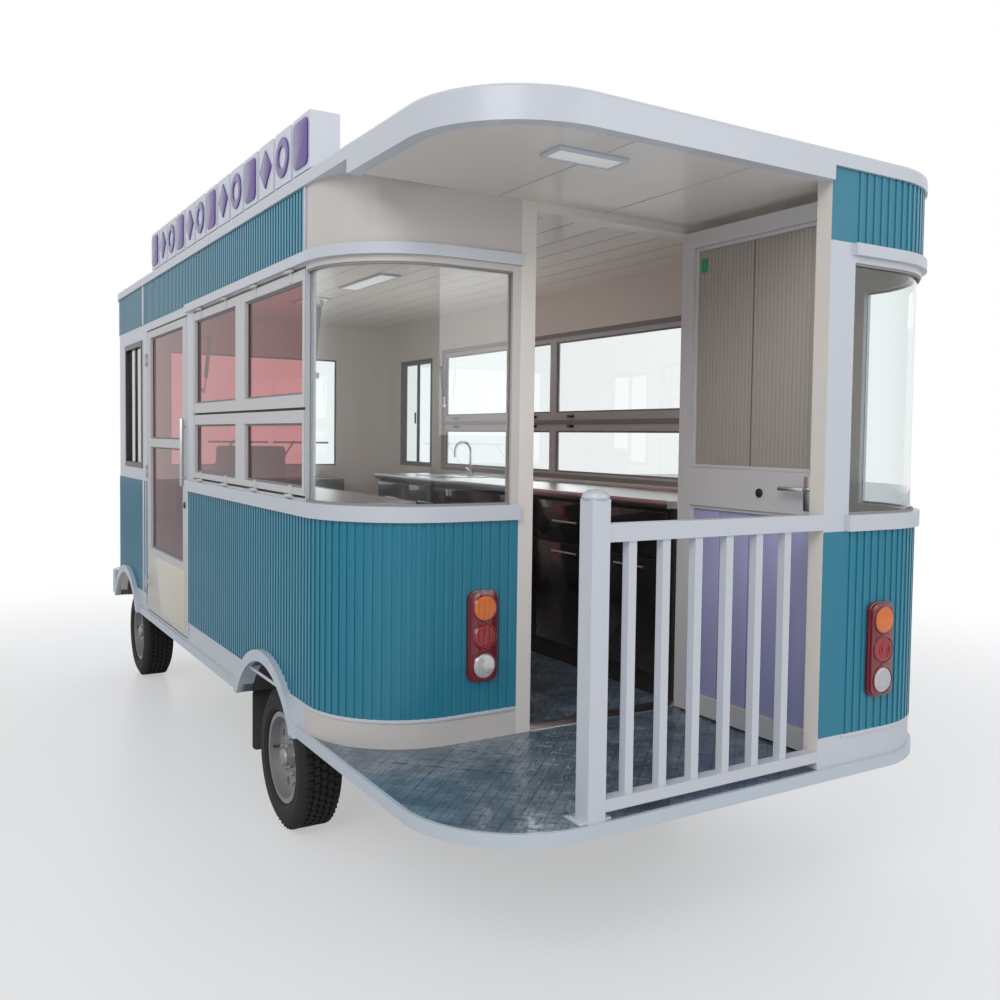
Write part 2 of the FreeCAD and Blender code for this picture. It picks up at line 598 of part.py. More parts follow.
def make_rear_door():
    """The porch door, stored open along the van; returns the wall's hinge halves."""
    hinge_x = PORCH_X - HINGE_PROUD
    x0, x1 = hinge_x - HINGE_PROUD - REAR_DOOR_WIDTH, hinge_x - HINGE_PROUD
    y0 = DOORWAY_RIGHT + HINGE_PROUD
    y1 = y0 + REAR_DOOR_T
    z0, z1 = REAR_DOOR_Z
    frame = box(x0, x1, y0, y1, z0, z1)
    spans = ((z0 + REAR_DOOR_RAIL, REAR_DOOR_MID[0]), (REAR_DOOR_MID[1], z1 - REAR_DOOR_RAIL))
    panels = []
    for a, b in spans:
        frame = frame.cut(box(x0 + REAR_DOOR_RAIL, x1 - REAR_DOOR_RAIL, y0, y1, a, b))
        panels.append(box(x0 + REAR_DOOR_RAIL, x1 - REAR_DOOR_RAIL, y0 + REAR_DOOR_RECESS,
                          y1 - REAR_DOOR_RECESS, a, b))
    fixed = []
    for z in spread(z0, z1, REAR_HINGE_MARGIN, DOOR_HINGES):
        pin = (hinge_x, DOORWAY_RIGHT, z)
        frame = fuse([frame, place(hinge_moving(), pin, (0, 0, 1), (0, -1, 0), (1, 0, 0))])
        fixed.append(place(hinge_fixed(HINGE_LEAF), pin, (0, 0, 1), (-1, 0, 0), (0, -1, 0)))
    save(frame, "rear_door_frame")
    save(group(panels), "rear_door_panels")
    return fixed


# ---- outside fittings --------------------------------------------------------------------------
def make_railing():
    """The railing from its post to the right post, fastened on the deck's rear edge."""
    x0, x1 = station(RAILING[0]), station(RAILING[1])
    right = RIGHT_POST_Y[1]
    left, post_left = RAILING_POST_Y
    behind, ahead = RAILING_POST_PROUD
    pieces = [
        box(x0 - behind, x1 + ahead, left, post_left, DECK_TOP, RAILING_POST_TOP),
        box(x0, x1, right, left, *RAILING_TOP_Z),
        box(x0, x1, right, left, *RAILING_LOW_Z),
    ]
    for number in range(BAR_COUNT):
        y = left - FIRST_BAR - BAR_PITCH * number
        pieces.append(box(x0 + BAR_SINK, x1 - BAR_SINK, y - BAR_W / 2, y + BAR_W / 2,
                          RAILING_LOW_Z[1], RAILING_TOP_Z[0]))
    save(fuse(pieces), "porch_railing")


def lamp(y0, face):
    """A tall tail lamp with rounded edges, standing out of the wall at x = face."""
    shape = box(face - LAMP_DEPTH, face, y0, y0 + LAMP_W, *LAMP_Z)
    edges = [e for e in shape.Edges if all(abs(v.X - (face - LAMP_DEPTH)) < 0.01 for v in e.Vertexes)]
    return shape.makeFillet(LAMP_EDGE_R, edges)


def make_lamps():
    """Both tail lamps and both head lamps."""
    left = lamp(LEFT_POST_Y[1] + LEFT_LAMP, PORCH_X)
    right = lamp(RIGHT_POST_Y[0] - RIGHT_LAMP - LAMP_W, REAR + WALL_INSET)
    save(group([left, right]), "tail_lamps")
    face = FRONT - WALL_INSET
    heads = [rod(HEADLAMP_R, (face, y, HEADLAMP_Z), (face + LAMP_DEPTH, y, HEADLAMP_Z))
             for y in (-HEADLAMP_Y, HEADLAMP_Y)]
    save(group(heads), "headlamps")


def make_bumper():
    """The front bumper, wrapped round both corners as far as the arch trims."""
    bar = outline_ring(-BUMPER_PROUD, WALL_INSET, *BUMPER_Z)
    bar = bar.cut(outline(0, 0, DECK_TOP))
    half = HALF + FLARE_PROUD - WALL_INSET
    bar = bar.common(box(FRONT - CORNER_R * BUMPER_WRAP, FRONT + BUMPER_PROUD, -half, half, 0, ROOF_TOP))
    bar = bar.cut(arch_cutter(FRONT_AXLE, ARCH_R + FLARE + FLARE_CLEAR))
    save(bar, "front_bumper")


def make_flares():
    """The trim round each wheel arch."""
    pieces = []
    for axle in (REAR_AXLE, FRONT_AXLE):
        ring = arch_cutter(axle, ARCH_R + FLARE).cut(arch_cutter(axle, ARCH_R))
        ring = ring.common(box(REAR, FRONT, FACE, FACE + FLARE_PROUD, DECK_BOTTOM, ROOF_TOP))
        ring = ring.cut(outline(0, DECK_BOTTOM, DECK_TOP))
        pieces += [ring, mirrored(ring)]
    save(group(pieces), "arch_flares")


def make_housings():
    """The boxes that close the wheel arches inside the cabin."""
    pieces = []
    for axle in (REAR_AXLE, FRONT_AXLE):
        x = station(axle)
        outer = rod(ARCH_R + HOUSING_T, (x, HOUSING_INNER_Y - HOUSING_T, WHEEL_R), (x, INNER, WHEEL_R))
        outer = outer.cut(rod(ARCH_R, (x, HOUSING_INNER_Y, WHEEL_R), (x, INNER, WHEEL_R)))
        outer = outer.common(box(REAR, FRONT, 0, INNER, DECK_BOTTOM, ROOF_TOP))
        outer = outer.common(outline(WALL_INSET + WALL, DECK_BOTTOM, ROOF_UNDER))
        pieces += [outer, mirrored(outer)]
    save(group(pieces), "wheel_housings")


def make_sign():
    """A row of blank blocks on a rail along the left edge of the roof."""
    y1 = HALF - SIGN_EDGE
    y0 = y1 - SIGN_DEPTH
    foot = ROOF_TOP + SIGN_RAIL_H
    pitch = (SIGN[1] - SIGN[0]) / SIGN_BLOCKS
    pieces = [box(station(SIGN[0]), station(SIGN[1]), y0 + SIGN_RAIL_INSET, y1 - SIGN_RAIL_INSET,
                  ROOF_TOP, foot)]
    for number in range(SIGN_BLOCKS):
        x = station(SIGN[0]) + pitch * number
        pieces.append(box(x + SIGN_GAP, x + pitch - SIGN_GAP, y0, y1, foot, foot + SIGN_H))
    save(fuse(pieces), "roof_sign")


# ---- cabin fittings ----------------------------------------------------------------------------
def make_counters():
    """The long right counter and the short left one, cut round the rear wheel housings."""
    under = COUNTER_TOP - WORKTOP_T
    aisle, ahead = WORKTOP_PROUD
    right_front = RIGHT_COUNTER_DEPTH - INNER
    left_front = INNER - LEFT_COUNTER_DEPTH
    back = PORCH_X + REAR_WALL
    left_wall = INNER - LEFT_COUNTER_GAP
    right = box(back, station(RIGHT_COUNTER_END), -INNER, right_front - aisle, DECK_TOP, under)
    left = box(station(CORNER_END), station(LEFT_COUNTER_END), left_front + aisle, left_wall,
               DECK_TOP, under)
    radius = ARCH_R + HOUSING_T + HOUSING_CLEAR
    side = HOUSING_INNER_Y - HOUSING_T - HOUSING_CLEAR
    x = station(REAR_AXLE)
    right = right.cut(rod(radius, (x, -HALF, WHEEL_R), (x, -side, WHEEL_R)))
    left = left.cut(rod(radius, (x, side, WHEEL_R), (x, HALF, WHEEL_R)))
    save(group([right, left]), "counters")
    tops = [box(back, station(RIGHT_COUNTER_END) + ahead, -INNER, right_front, under, COUNTER_TOP),
            box(station(CORNER_END), station(LEFT_COUNTER_END) + ahead, left_front, left_wall,
                under, COUNTER_TOP)]
    save(group(tops), "worktops")


def make_cab():
    """The driver's seat, the dashboard and the steering wheel on its column."""
    dash_front = FRONT - WALL_INSET - WALL
    dash = box(dash_front - DASH_DEPTH, dash_front, -DASH_HALF, DASH_HALF, *DASH_Z)
    x, y = station(SEAT_STATION), SEAT_Y
    length, half, base_top = SEAT_BASE
    base = box(x, x + length, y - half, y + half, DECK_TOP, base_top)
    behind, ahead, half, top = CUSHION
    cushion = box(x - behind, x + ahead, y - half, y + half, base_top, top)
    depth, half, foot, top = SEAT_BACK
    back = box(x - depth, x, y - half, y + half, foot, top)
    save(fuse([base, cushion, back]), "driver_seat")
    hub = V(dash_front - HUB_BACK, SEAT_Y, HUB_Z)
    axis = V(*COLUMN_WAY)
    ring = Part.makeTorus(STEERING_R, STEERING_GRIP_R, hub, axis)
    column = Part.makeCylinder(COLUMN_R, COLUMN_LENGTH, hub, axis * -1)
    save(dash.cut(Part.makeCylinder(COLUMN_R + SEAT, COLUMN_HOLE, hub, axis * -1)), "dashboard")
    spoke = rod(STEERING_SPOKE_R, (hub.x, hub.y - STEERING_R, hub.z), (hub.x, hub.y + STEERING_R, hub.z))
    radius, depth = STEERING_BOSS
    boss = Part.makeCylinder(radius, depth, hub - axis * (depth / 2), axis)
    save(fuse([ring, column, boss, spoke]), "steering_wheel")


# ---- running gear ------------------------------------------------------------------------------
def pipe(outer, inner, low, high):
    """A tube along Z."""
    return Part.makeCylinder(outer, high - low, V(0, 0, low)).cut(
        Part.makeCylinder(inner, high - low, V(0, 0, low)))


def make_tyre():
    """A tyre at the origin with its axle along Z, open where the rim seats."""
    half = TYRE_WIDTH / 2
    tyre = Part.makeCylinder(WHEEL_R, TYRE_WIDTH, V(0, 0, -half))
    shoulders = [e for e in tyre.Edges if len(e.Vertexes) == 1 and hasattr(e.Curve, "Center")]
    tyre = tyre.makeFillet(TYRE_SHOULDER, shoulders)
    tyre = tyre.cut(Part.makeCylinder(RIM_R, TYRE_WIDTH, V(0, 0, -half)))
    lip = RIM_WIDTH / 2 - RIM_T
    cup = Part.makeCylinder(RIM_R + RIM_LIP + RIM_SEAT, TYRE_WIDTH, V(0, 0, lip))
    return tyre.cut(cup).cut(cup.mirror(V(0, 0, 0), V(0, 0, 1)))


def make_rim():
    """A steel wheel at the origin, its outer side up: barrel, lips, disc, hub and vent holes."""
    half = RIM_WIDTH / 2
    bore = RIM_R - RIM_T
    parts = [pipe(RIM_R, bore, -half, half)]
    for low in (-half, half - RIM_T):
        parts.append(pipe(RIM_R + RIM_LIP, bore, low, low + RIM_T))
    parts.append(Part.makeCylinder(bore, DISC[1] - DISC[0], V(0, 0, DISC[0])))
    parts.append(Part.makeCylinder(HUB_R, HUB[1] - HUB[0], V(0, 0, HUB[0])))
    rim = fuse(parts)
    for number in range(VENTS):
        angle = 2 * math.pi * number / VENTS
        centre = V(VENT_CIRCLE * math.cos(angle), VENT_CIRCLE * math.sin(angle), 0)
        rim = rim.cut(Part.makeCylinder(VENT_R, half, centre))
    return rim.cut(Part.makeCylinder(SPINDLE_R + FIT, TYRE_WIDTH, V(0, 0, -TYRE_WIDTH / 2)))


def make_wheel(axle, side, name):
    """One wheel at its place: the tyre and the rim, each in its own node."""
    for shape, part in ((make_tyre(), "_tyre"), (make_rim(), "_rim")):
        shape.rotate(V(0, 0, 0), V(1, 0, 0), -90 * side)
        shape.translate(V(station(axle), side * HALF_TRACK, WHEEL_R))
        save(shape, name + part)


def make_running_gear():
    """Wheels, axles with their springs, and the steered knuckles."""
    for axle, word in ((REAR_AXLE, "rear"), (FRONT_AXLE, "front")):
        for side, hand in ((1, "left"), (-1, "right")):
            make_wheel(axle, side, word + "_" + hand)
    x = station(REAR_AXLE)
    reach = HALF_TRACK + SPINDLE_REACH
    pieces = [rod(AXLE_TUBE_R, (x, -AXLE_TUBE_HALF, WHEEL_R), (x, AXLE_TUBE_HALF, WHEEL_R)),
              rod(SPINDLE_R, (x, -reach, WHEEL_R), (x, reach, WHEEL_R)),
              Part.makeSphere(AXLE_CASE_R, V(x, 0, WHEEL_R))]
    save(fuse(pieces + springs(x)), "rear_axle")
    x = station(FRONT_AXLE)
    beam = box(x - BEAM_EYE_R, x + BEAM_EYE_R, -KINGPIN_Y, KINGPIN_Y,
               WHEEL_R - BEAM_HALF, WHEEL_R + BEAM_HALF)
    beam = fuse([beam] + springs(x))
    for side in (1, -1):
        y = side * KINGPIN_Y
        eye = rod(BEAM_EYE_R, (x, y, WHEEL_R - BEAM_HALF), (x, y, WHEEL_R + BEAM_HALF))
        beam = fuse([beam, eye]).cut(rod(KINGPIN_R + FIT, (x, y, 0), (x, y, 2 * WHEEL_R)))
    save(beam, "front_axle")
    for side, hand in ((1, "left"), (-1, "right")):
        save(make_knuckle(x, side), "front_" + hand + "_knuckle")


def make_knuckle(x, side):
    """The steered upright: two ears and the kingpin on the beam's eye, and the wheel's spindle."""
    y = side * KINGPIN_Y
    outside, plate_t = KNUCKLE_PLATE
    plate_y = side * (KINGPIN_Y + outside)
    low, high = WHEEL_R - BEAM_HALF - KNUCKLE_EAR, WHEEL_R + BEAM_HALF + KNUCKLE_EAR
    pieces = [rod(KINGPIN_R, (x, y, low), (x, y, high))]
    y0, y1 = sorted((y, plate_y + side * plate_t))
    for foot in (low - KNUCKLE_CLEAR, WHEEL_R + BEAM_HALF + KNUCKLE_CLEAR):
        pieces.append(rod(EAR_R, (x, y, foot), (x, y, foot + KNUCKLE_EAR)))
        pieces.append(box(x - EAR_HALF, x + EAR_HALF, y0, y1, foot, foot + KNUCKLE_EAR))
    y0, y1 = sorted((plate_y, plate_y + side * plate_t))
    pieces.append(box(x - KNUCKLE_HALF, x + KNUCKLE_HALF, y0, y1, low, high))
    pieces.append(rod(SPINDLE_R, (x, plate_y, WHEEL_R), (x, side * (HALF_TRACK + SPINDLE_REACH), WHEEL_R)))
    return fuse(pieces)


def springs(x):
    """Two leaf springs with their clamps and hangers, between an axle and the frame rails."""
    frame_low = DECK_BOTTOM - RAIL_H
    low = frame_low - SPRING_DROP
    along, across = CLAMP
    pieces = []
    for side in (1, -1):
        y = side * RAIL_Y
        y0, y1 = y - SPRING_W / 2, y + SPRING_W / 2
        pieces.append(box(x - SPRING_HALF, x + SPRING_HALF, y0, y1, low, low + SPRING_T))
        pieces.append(box(x - along, x + along, y - across, y + across,
                          WHEEL_R - CLAMP_UNDER, low + SPRING_T + CLAMP_OVER))
        for end in (x - SPRING_HALF, x + SPRING_HALF - HANGER):
            pieces.append(box(end, end + HANGER, y0, y1, low, frame_low))
    return pieces


def make_battery():
    """The drive battery, a plain block between the frame's rails."""
    y = RAIL_Y - RAIL_W / 2 - BATTERY_GAP
    save(box(station(BATTERY[0]), station(BATTERY[1]), -y, y, BATTERY_UNDER, DECK_BOTTOM), "battery_box")


os.makedirs("parts", exist_ok=True)
make_deck()
make_chassis()
make_roof()
make_walls()
make_ledges()
make_fixed_glass()
make_flaps()
make_railing()
make_lamps()
make_bumper()
make_flares()
make_housings()
make_sign()
make_counters()
make_cab()
make_running_gear()
make_battery()
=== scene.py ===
# %% [markdown]
# # A small electric vending van with a rear porch
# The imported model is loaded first. It holds the walls, doors, wheels and joints at their real size,
# so every detail below is placed from it and never moves it.

# %% Load the frame
import math

import bmesh
import bpy
from mathutils import Matrix, Vector


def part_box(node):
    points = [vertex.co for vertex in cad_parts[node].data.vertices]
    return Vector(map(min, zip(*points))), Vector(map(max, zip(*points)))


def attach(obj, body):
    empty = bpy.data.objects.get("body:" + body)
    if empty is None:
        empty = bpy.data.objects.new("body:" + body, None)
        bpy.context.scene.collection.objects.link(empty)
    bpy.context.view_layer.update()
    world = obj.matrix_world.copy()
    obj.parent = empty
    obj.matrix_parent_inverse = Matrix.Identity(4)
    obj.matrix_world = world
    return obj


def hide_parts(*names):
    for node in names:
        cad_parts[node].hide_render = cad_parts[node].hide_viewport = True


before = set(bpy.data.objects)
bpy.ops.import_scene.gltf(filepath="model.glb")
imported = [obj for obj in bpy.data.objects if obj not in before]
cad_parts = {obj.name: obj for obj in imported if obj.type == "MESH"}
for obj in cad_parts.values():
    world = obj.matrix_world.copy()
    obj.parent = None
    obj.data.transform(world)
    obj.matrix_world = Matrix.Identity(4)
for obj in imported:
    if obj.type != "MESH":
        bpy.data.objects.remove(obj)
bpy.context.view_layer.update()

# %% [markdown]
# ## Measures
# Metres, read from the frame where a node gives them. A station is a distance forward of the deck's
# rear edge, the way a coachbuilder measures a body.

# %% Measures from the frame
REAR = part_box("deck_edge")[0].x
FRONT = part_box("deck_edge")[1].x
DECK_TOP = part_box("floor_deck")[1].z
ROOF_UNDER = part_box("rear_left_corner")[1].z
ROOF_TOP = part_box("roof")[1].z
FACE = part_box("left_side_wall")[1].y
PORCH_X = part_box("cabin_rear_wall")[0].x
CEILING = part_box("ceiling_panels")[0].z
CORNER_R = 0.368
DECK_CORNER_R = 0.380
BELT_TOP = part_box("corner_glass")[0].z
GLASS_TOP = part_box("corner_glass")[1].z
BELT_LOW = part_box("body_ledges")[0].z
HEAD_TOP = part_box("body_ledges")[1].z
SKIRT_TOP = 0.612
AXLES = (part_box("rear_axle"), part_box("front_axle"))
AXLE_X = [(low.x + high.x) / 2 for low, high in AXLES]
WHEEL_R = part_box("rear_left_tyre")[1].z / 2
ARCH_R = 0.39
STRAIGHT_HALF = FACE - CORNER_R
POST_Y, RIGHT_POST_Y = 0.365, -0.400
DOOR_LOW, DOOR_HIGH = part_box("entry_door")


def station(distance):
    """X of a point this far forward of the deck's rear edge."""
    return REAR + distance


print("deck", round(DECK_TOP, 3), "roof", round(ROOF_TOP, 3), "wall face", round(FACE, 3))

# %% [markdown]
# ## Node helpers
# Materials and the world are made of nodes. These short functions add one node each and link its inputs,
# so that a finish further down reads like a formula.


# %% One node at a time
def put(tree, socket, value):
    """Link a socket to an input, or set the input's own number or colour."""
    if isinstance(value, (int, float, tuple)):
        socket.default_value = value
    else:
        tree.links.new(value, socket)


def math_node(tree, operation, first, second=0.0):
    """One Math node; its inputs are sockets or numbers."""
    node = tree.nodes.new("ShaderNodeMath")
    node.operation = operation
    put(tree, node.inputs[0], first)
    put(tree, node.inputs[1], second)
    return node.outputs[0]


def mix_color(tree, factor, first, second):
    """One colour Mix node; its inputs are sockets or colours."""
    node = tree.nodes.new("ShaderNodeMix")
    node.data_type = "RGBA"
    for socket, value in ((node.inputs[0], factor), (node.inputs[6], first), (node.inputs[7], second)):
        put(tree, socket, value)
    return node.outputs[2]


def mix_shader(tree, factor, first, second):
    """One Mix Shader node between two shaders."""
    node = tree.nodes.new("ShaderNodeMixShader")
    for socket, value in zip(node.inputs, (factor, first, second)):
        put(tree, socket, value)
    return node.outputs[0]


def object_place(tree):
    """The Object coordinate, which stays with the piece."""
    return tree.nodes.new("ShaderNodeTexCoord").outputs["Object"]


def object_noise(tree, scale, detail):
    """A soft noise on Object coordinates."""
    noise = tree.nodes.new("ShaderNodeTexNoise")
    put(tree, noise.inputs["Scale"], scale)
    put(tree, noise.inputs["Detail"], detail)
    put(tree, noise.inputs["Vector"], object_place(tree))
    return noise.outputs["Fac"]


def bump_node(tree, height, strength, distance=0.002):
    """A Bump node over a height; it puts out a normal."""
    bump = tree.nodes.new("ShaderNodeBump")
    for label, value in (("Height", height), ("Strength", strength), ("Distance", distance)):
        put(tree, bump.inputs[label], value)
    return bump.outputs[0]


# %% [markdown]
# ## Camera, light and floor
# The view is from behind the left rear corner, a little above the waist rail. A large soft lamp above,
# weaker ones beside it and in front, a low one in the cabin and a pale world give plain studio light.
# The floor and backdrop are white for the camera and for reflections, so glass and metal show a clean
# surround.

# %% Camera
EYE = (REAR - 2.141, 2.168, 1.568)
YAW, PITCH, ROLL = math.radians(-32.094), math.radians(-2.570), math.radians(0.792)
forward = Vector((math.cos(PITCH) * math.cos(YAW), math.cos(PITCH) * math.sin(YAW), math.sin(PITCH)))
level = forward.cross(Vector((0, 0, 1))).normalized()
upright = level.cross(forward)
right = level * math.cos(ROLL) + upright * math.sin(ROLL)
up = upright * math.cos(ROLL) - level * math.sin(ROLL)
camera = bpy.data.objects.new("camera", bpy.data.cameras.new("camera"))
bpy.context.collection.objects.link(camera)
turn = Matrix((right, up, -forward)).transposed().to_4x4()
camera.matrix_world = Matrix.Translation(EYE) @ turn
camera.data.sensor_width = 36.0
camera.data.lens = 35.5
camera.data.shift_x = -0.0288
camera.data.shift_y = -0.0181
camera.data.clip_end = 200
bpy.context.scene.camera = camera
bpy.context.scene.view_settings.view_transform = "Standard"
print("eye:", [round(n, 3) for n in EYE])


# %% Lamps and world
def area_lamp(name, place, target, size, watts):
    """A square soft lamp that looks at a point."""
    data = bpy.data.lights.new(name, "AREA")
    data.size = size
    data.energy = watts
    lamp = bpy.data.objects.new(name, data)
    bpy.context.collection.objects.link(lamp)
    lamp.location = place
    lamp.rotation_euler = (Vector(target) - Vector(place)).to_track_quat("-Z", "Y").to_euler()
    return lamp


area_lamp("key_lamp", (-7.0, 6.5, 6.5), (0, 0, 1), 5.0, 330)
area_lamp("fill_lamp", (-8.5, -3.0, 3.5), (-1.5, 0, 1.2), 4.0, 100)
area_lamp("front_lamp", (8.0, -4.0, 5.5), (0, 0, 1), 5.0, 230)
bounce = area_lamp("cabin_bounce", (0.4, 0, 0.75), (0.4, 0, 2.4), 1.0, 16)
bounce.visible_camera = False
bounce.visible_glossy = False
bounce.visible_transmission = False
world = bpy.data.worlds.new("studio")
bpy.context.scene.world = world
world.use_nodes = True
tree = world.node_tree
tree.nodes.clear()
ray = tree.nodes.new("ShaderNodeLightPath").outputs
seen = math_node(tree, "MAXIMUM", ray["Is Camera Ray"], ray["Is Glossy Ray"])
clear = math_node(tree, "MAXIMUM", seen, ray["Is Transmission Ray"])
sky, white = tree.nodes.new("ShaderNodeBackground"), tree.nodes.new("ShaderNodeBackground")
sky.inputs["Color"].default_value = (0.88, 0.94, 1.0, 1)
sky.inputs["Strength"].default_value = 0.46
white.inputs["Color"].default_value = (1, 1, 1, 1)
seen_world = mix_shader(tree, clear, sky.outputs[0], white.outputs[0])
put(tree, tree.nodes.new("ShaderNodeOutputWorld").inputs["Surface"], seen_world)
print("lamps:", len(bpy.data.lights))

# %% Floor
bpy.ops.object.select_all(action="DESELECT")
bpy.ops.mesh.primitive_plane_add(size=60, location=(0, 0, -0.001))
floor = bpy.context.object
floor.name = "studio_floor"
fade = bpy.data.materials.new("floor_paint")
fade.use_nodes = True
tree = fade.node_tree
matte = tree.nodes["Principled BSDF"]
matte.inputs["Base Color"].default_value = (0.86, 0.86, 0.87, 1)
matte.inputs["Roughness"].default_value = 0.32
matte.inputs["Specular IOR Level"].default_value = 0.35
glow = tree.nodes.new("ShaderNodeEmission")
glow.inputs["Color"].default_value = (1, 1, 1, 1)
length = tree.nodes.new("ShaderNodeVectorMath")
length.operation = "LENGTH"
put(tree, length.inputs[0], object_place(tree))
ramp = tree.nodes.new("ShaderNodeMapRange")
ramp.interpolation_type = "SMOOTHSTEP"
ramp.inputs["From Min"].default_value = 2.6
ramp.inputs["From Max"].default_value = 6.5
ramp.inputs["To Min"].default_value = 0.45
put(tree, ramp.inputs["Value"], length.outputs["Value"])
ray = tree.nodes.new("ShaderNodeLightPath").outputs
far = math_node(tree, "MULTIPLY", ramp.outputs["Result"], ray["Is Camera Ray"])
faded = mix_shader(tree, far, matte.outputs[0], glow.outputs[0])
put(tree, tree.nodes["Material Output"].inputs["Surface"], faded)
floor.data.materials.append(fade)
print("camera and lamps are set")

# %% [markdown]
# ## Finishes
# Paint on a working van is never one flat colour. Two node groups are shared by the materials: one
# mottles a colour and gathers dust near the ground, the other adds a fine surface grain to the normal.


# %% Node groups
def new_group(name, inputs, outputs):
    """An empty shader group with float or colour sockets."""
    tree = bpy.data.node_groups.new(name, "ShaderNodeTree")
    kinds = {"f": "NodeSocketFloat", "c": "NodeSocketColor", "v": "NodeSocketVector"}
    for label, kind in inputs:
        tree.interface.new_socket(label, in_out="INPUT", socket_type=kinds[kind])
    for label, kind in outputs:
        tree.interface.new_socket(label, in_out="OUTPUT", socket_type=kinds[kind])
    return tree, tree.nodes.new("NodeGroupInput"), tree.nodes.new("NodeGroupOutput")


def weathering_group():
    """Colour mottled by a soft noise, with dust that fades out above the skirt."""
    tree, inside, outside = new_group(
        "weathering", (("Color", "c"), ("Dust", "c"), ("Amount", "f"), ("Roughness", "f")),
        (("Color", "c"), ("Roughness", "f")))
    split = tree.nodes.new("ShaderNodeSeparateXYZ")
    put(tree, split.inputs[0], object_place(tree))
    low = math_node(tree, "SUBTRACT", 1.0, math_node(tree, "MULTIPLY", split.outputs["Z"], 1.1))
    low = math_node(tree, "MAXIMUM", low, 0.12)
    speck = math_node(tree, "MULTIPLY", low, object_noise(tree, 3.5, 6))
    amount = math_node(tree, "MULTIPLY", speck, inside.outputs["Amount"])
    color = mix_color(tree, amount, inside.outputs["Color"], inside.outputs["Dust"])
    rough = math_node(tree, "ADD", inside.outputs["Roughness"], math_node(tree, "MULTIPLY", amount, 0.5))
    put(tree, outside.inputs["Color"], color)
    put(tree, outside.inputs["Roughness"], rough)
    return tree


def grain_group():
    """A fine noise bump."""
    sockets = (("Scale", "f"), ("Strength", "f"))
    tree, inside, outside = new_group("surface_grain", sockets, (("Normal", "v"),))
    noise = object_noise(tree, inside.outputs["Scale"], 4)
    put(tree, outside.inputs["Normal"], bump_node(tree, noise, inside.outputs["Strength"]))
    return tree


WEATHER, GRAIN = weathering_group(), grain_group()
DUST = (0.42, 0.37, 0.31, 1)


def group_node(tree, group, **values):
    """One use of a shared group with its own values."""
    node = tree.nodes.new("ShaderNodeGroup")
    node.node_tree = group
    node.name = group.name
    for label, value in values.items():
        node.inputs[label].default_value = value
    return node


def finish_of(name, color, rough, dust=0.35, grain=60.0, grain_strength=0.08, metallic=0.0, coat=0.0):
    """A painted, plastic or metal surface built from the two shared groups."""
    material = bpy.data.materials.new(name)
    material.use_nodes = True
    tree = material.node_tree
    shader = tree.nodes["Principled BSDF"]
    shader.inputs["Metallic"].default_value = metallic
    shader.inputs["Coat Weight"].default_value = coat
    weather = group_node(tree, WEATHER, Color=(*color, 1), Dust=DUST, Amount=dust, Roughness=rough)
    put(tree, shader.inputs["Base Color"], weather.outputs["Color"])
    put(tree, shader.inputs["Roughness"], weather.outputs["Roughness"])
    skin = group_node(tree, GRAIN, Scale=grain, Strength=grain_strength)
    put(tree, shader.inputs["Normal"], skin.outputs["Normal"])
    return material


# %% [markdown]
# The walls are painted in bands: teal cladding between the skirt and the waist rail and again under
# the roof, white everywhere else. The band is a mask on height, and only the outer face is teal, so a
# wall keeps its white lining inside.


# %% Paints
TEAL = (0.004, 0.190, 0.285)
# The shell white is white paint set darker and blue-grey as painted shade; the corner's cream is also
# darkened as painted shade.
SHADED_WHITE = (0.60, 0.62, 0.67)
SHADED_CREAM_WHITE = (0.62, 0.57, 0.53)
LINING_WHITE = (0.78, 0.72, 0.66)


def banded(name, bands, shell=SHADED_WHITE):
    """Teal bands on a pale shell on faces that look outwards, and a cream lining on the others."""
    material = finish_of(name, shell, 0.38, dust=0.12, coat=0.15)
    tree = material.node_tree
    where = tree.nodes.new("ShaderNodeTexCoord")
    split = tree.nodes.new("ShaderNodeSeparateXYZ")
    put(tree, split.inputs[0], where.outputs["Object"])
    mask = 0.0
    for low, high in bands:
        above = math_node(tree, "GREATER_THAN", split.outputs["Z"], low)
        below = math_node(tree, "LESS_THAN", split.outputs["Z"], high)
        mask = math_node(tree, "ADD", math_node(tree, "MULTIPLY", above, below), mask)
    out = tree.nodes.new("ShaderNodeVectorMath")
    out.operation = "DOT_PRODUCT"
    put(tree, out.inputs[0], where.outputs["Normal"])
    centre = tree.nodes.new("ShaderNodeVectorMath")
    centre.operation = "MULTIPLY"
    centre.inputs[1].default_value = (0.25, 1.0, 0.0)
    put(tree, centre.inputs[0], where.outputs["Object"])
    put(tree, out.inputs[1], centre.outputs[0])
    outward = math_node(tree, "GREATER_THAN", out.outputs["Value"], 0.05)
    mask = math_node(tree, "MULTIPLY", mask, outward)
    pale = mix_color(tree, outward, (*LINING_WHITE, 1), (*shell, 1))
    paint = mix_color(tree, mask, pale, (*TEAL, 1))
    put(tree, tree.nodes["weathering"].inputs["Color"], paint)
    return material


LOWER_BAND = (SKIRT_TOP, BELT_LOW)
UPPER_BAND = (HEAD_TOP, ROOF_UNDER)
SIDE_PAINT = banded("side_paint", (LOWER_BAND, UPPER_BAND))
CORNER_PAINT = banded("corner_paint", (LOWER_BAND,), SHADED_CREAM_WHITE)
TEAL_PAINT = finish_of("teal_ribs", TEAL, 0.30, dust=0.07, coat=0.3)
WHITE_PAINT = finish_of("white_paint", SHADED_WHITE, 0.36, dust=0.15, coat=0.15)
# White trim paint set darker and blue-grey as painted shade.
SHADED_TRIM_WHITE = finish_of("trim_white_shaded", (0.55, 0.60, 0.67), 0.32, dust=0.3, coat=0.2)
LINING = finish_of("lining_white", LINING_WHITE, 0.34, dust=0.10, coat=0.2)
FRAME_PAINT = finish_of("frame_powder_coat", (0.62, 0.60, 0.60), 0.42, dust=0.15, grain=220)
BLACK_PAINT = finish_of("black_paint", (0.012, 0.012, 0.013), 0.35, dust=0.1)
CHASSIS = finish_of("chassis_black", (0.02, 0.02, 0.022), 0.6, dust=0.7)
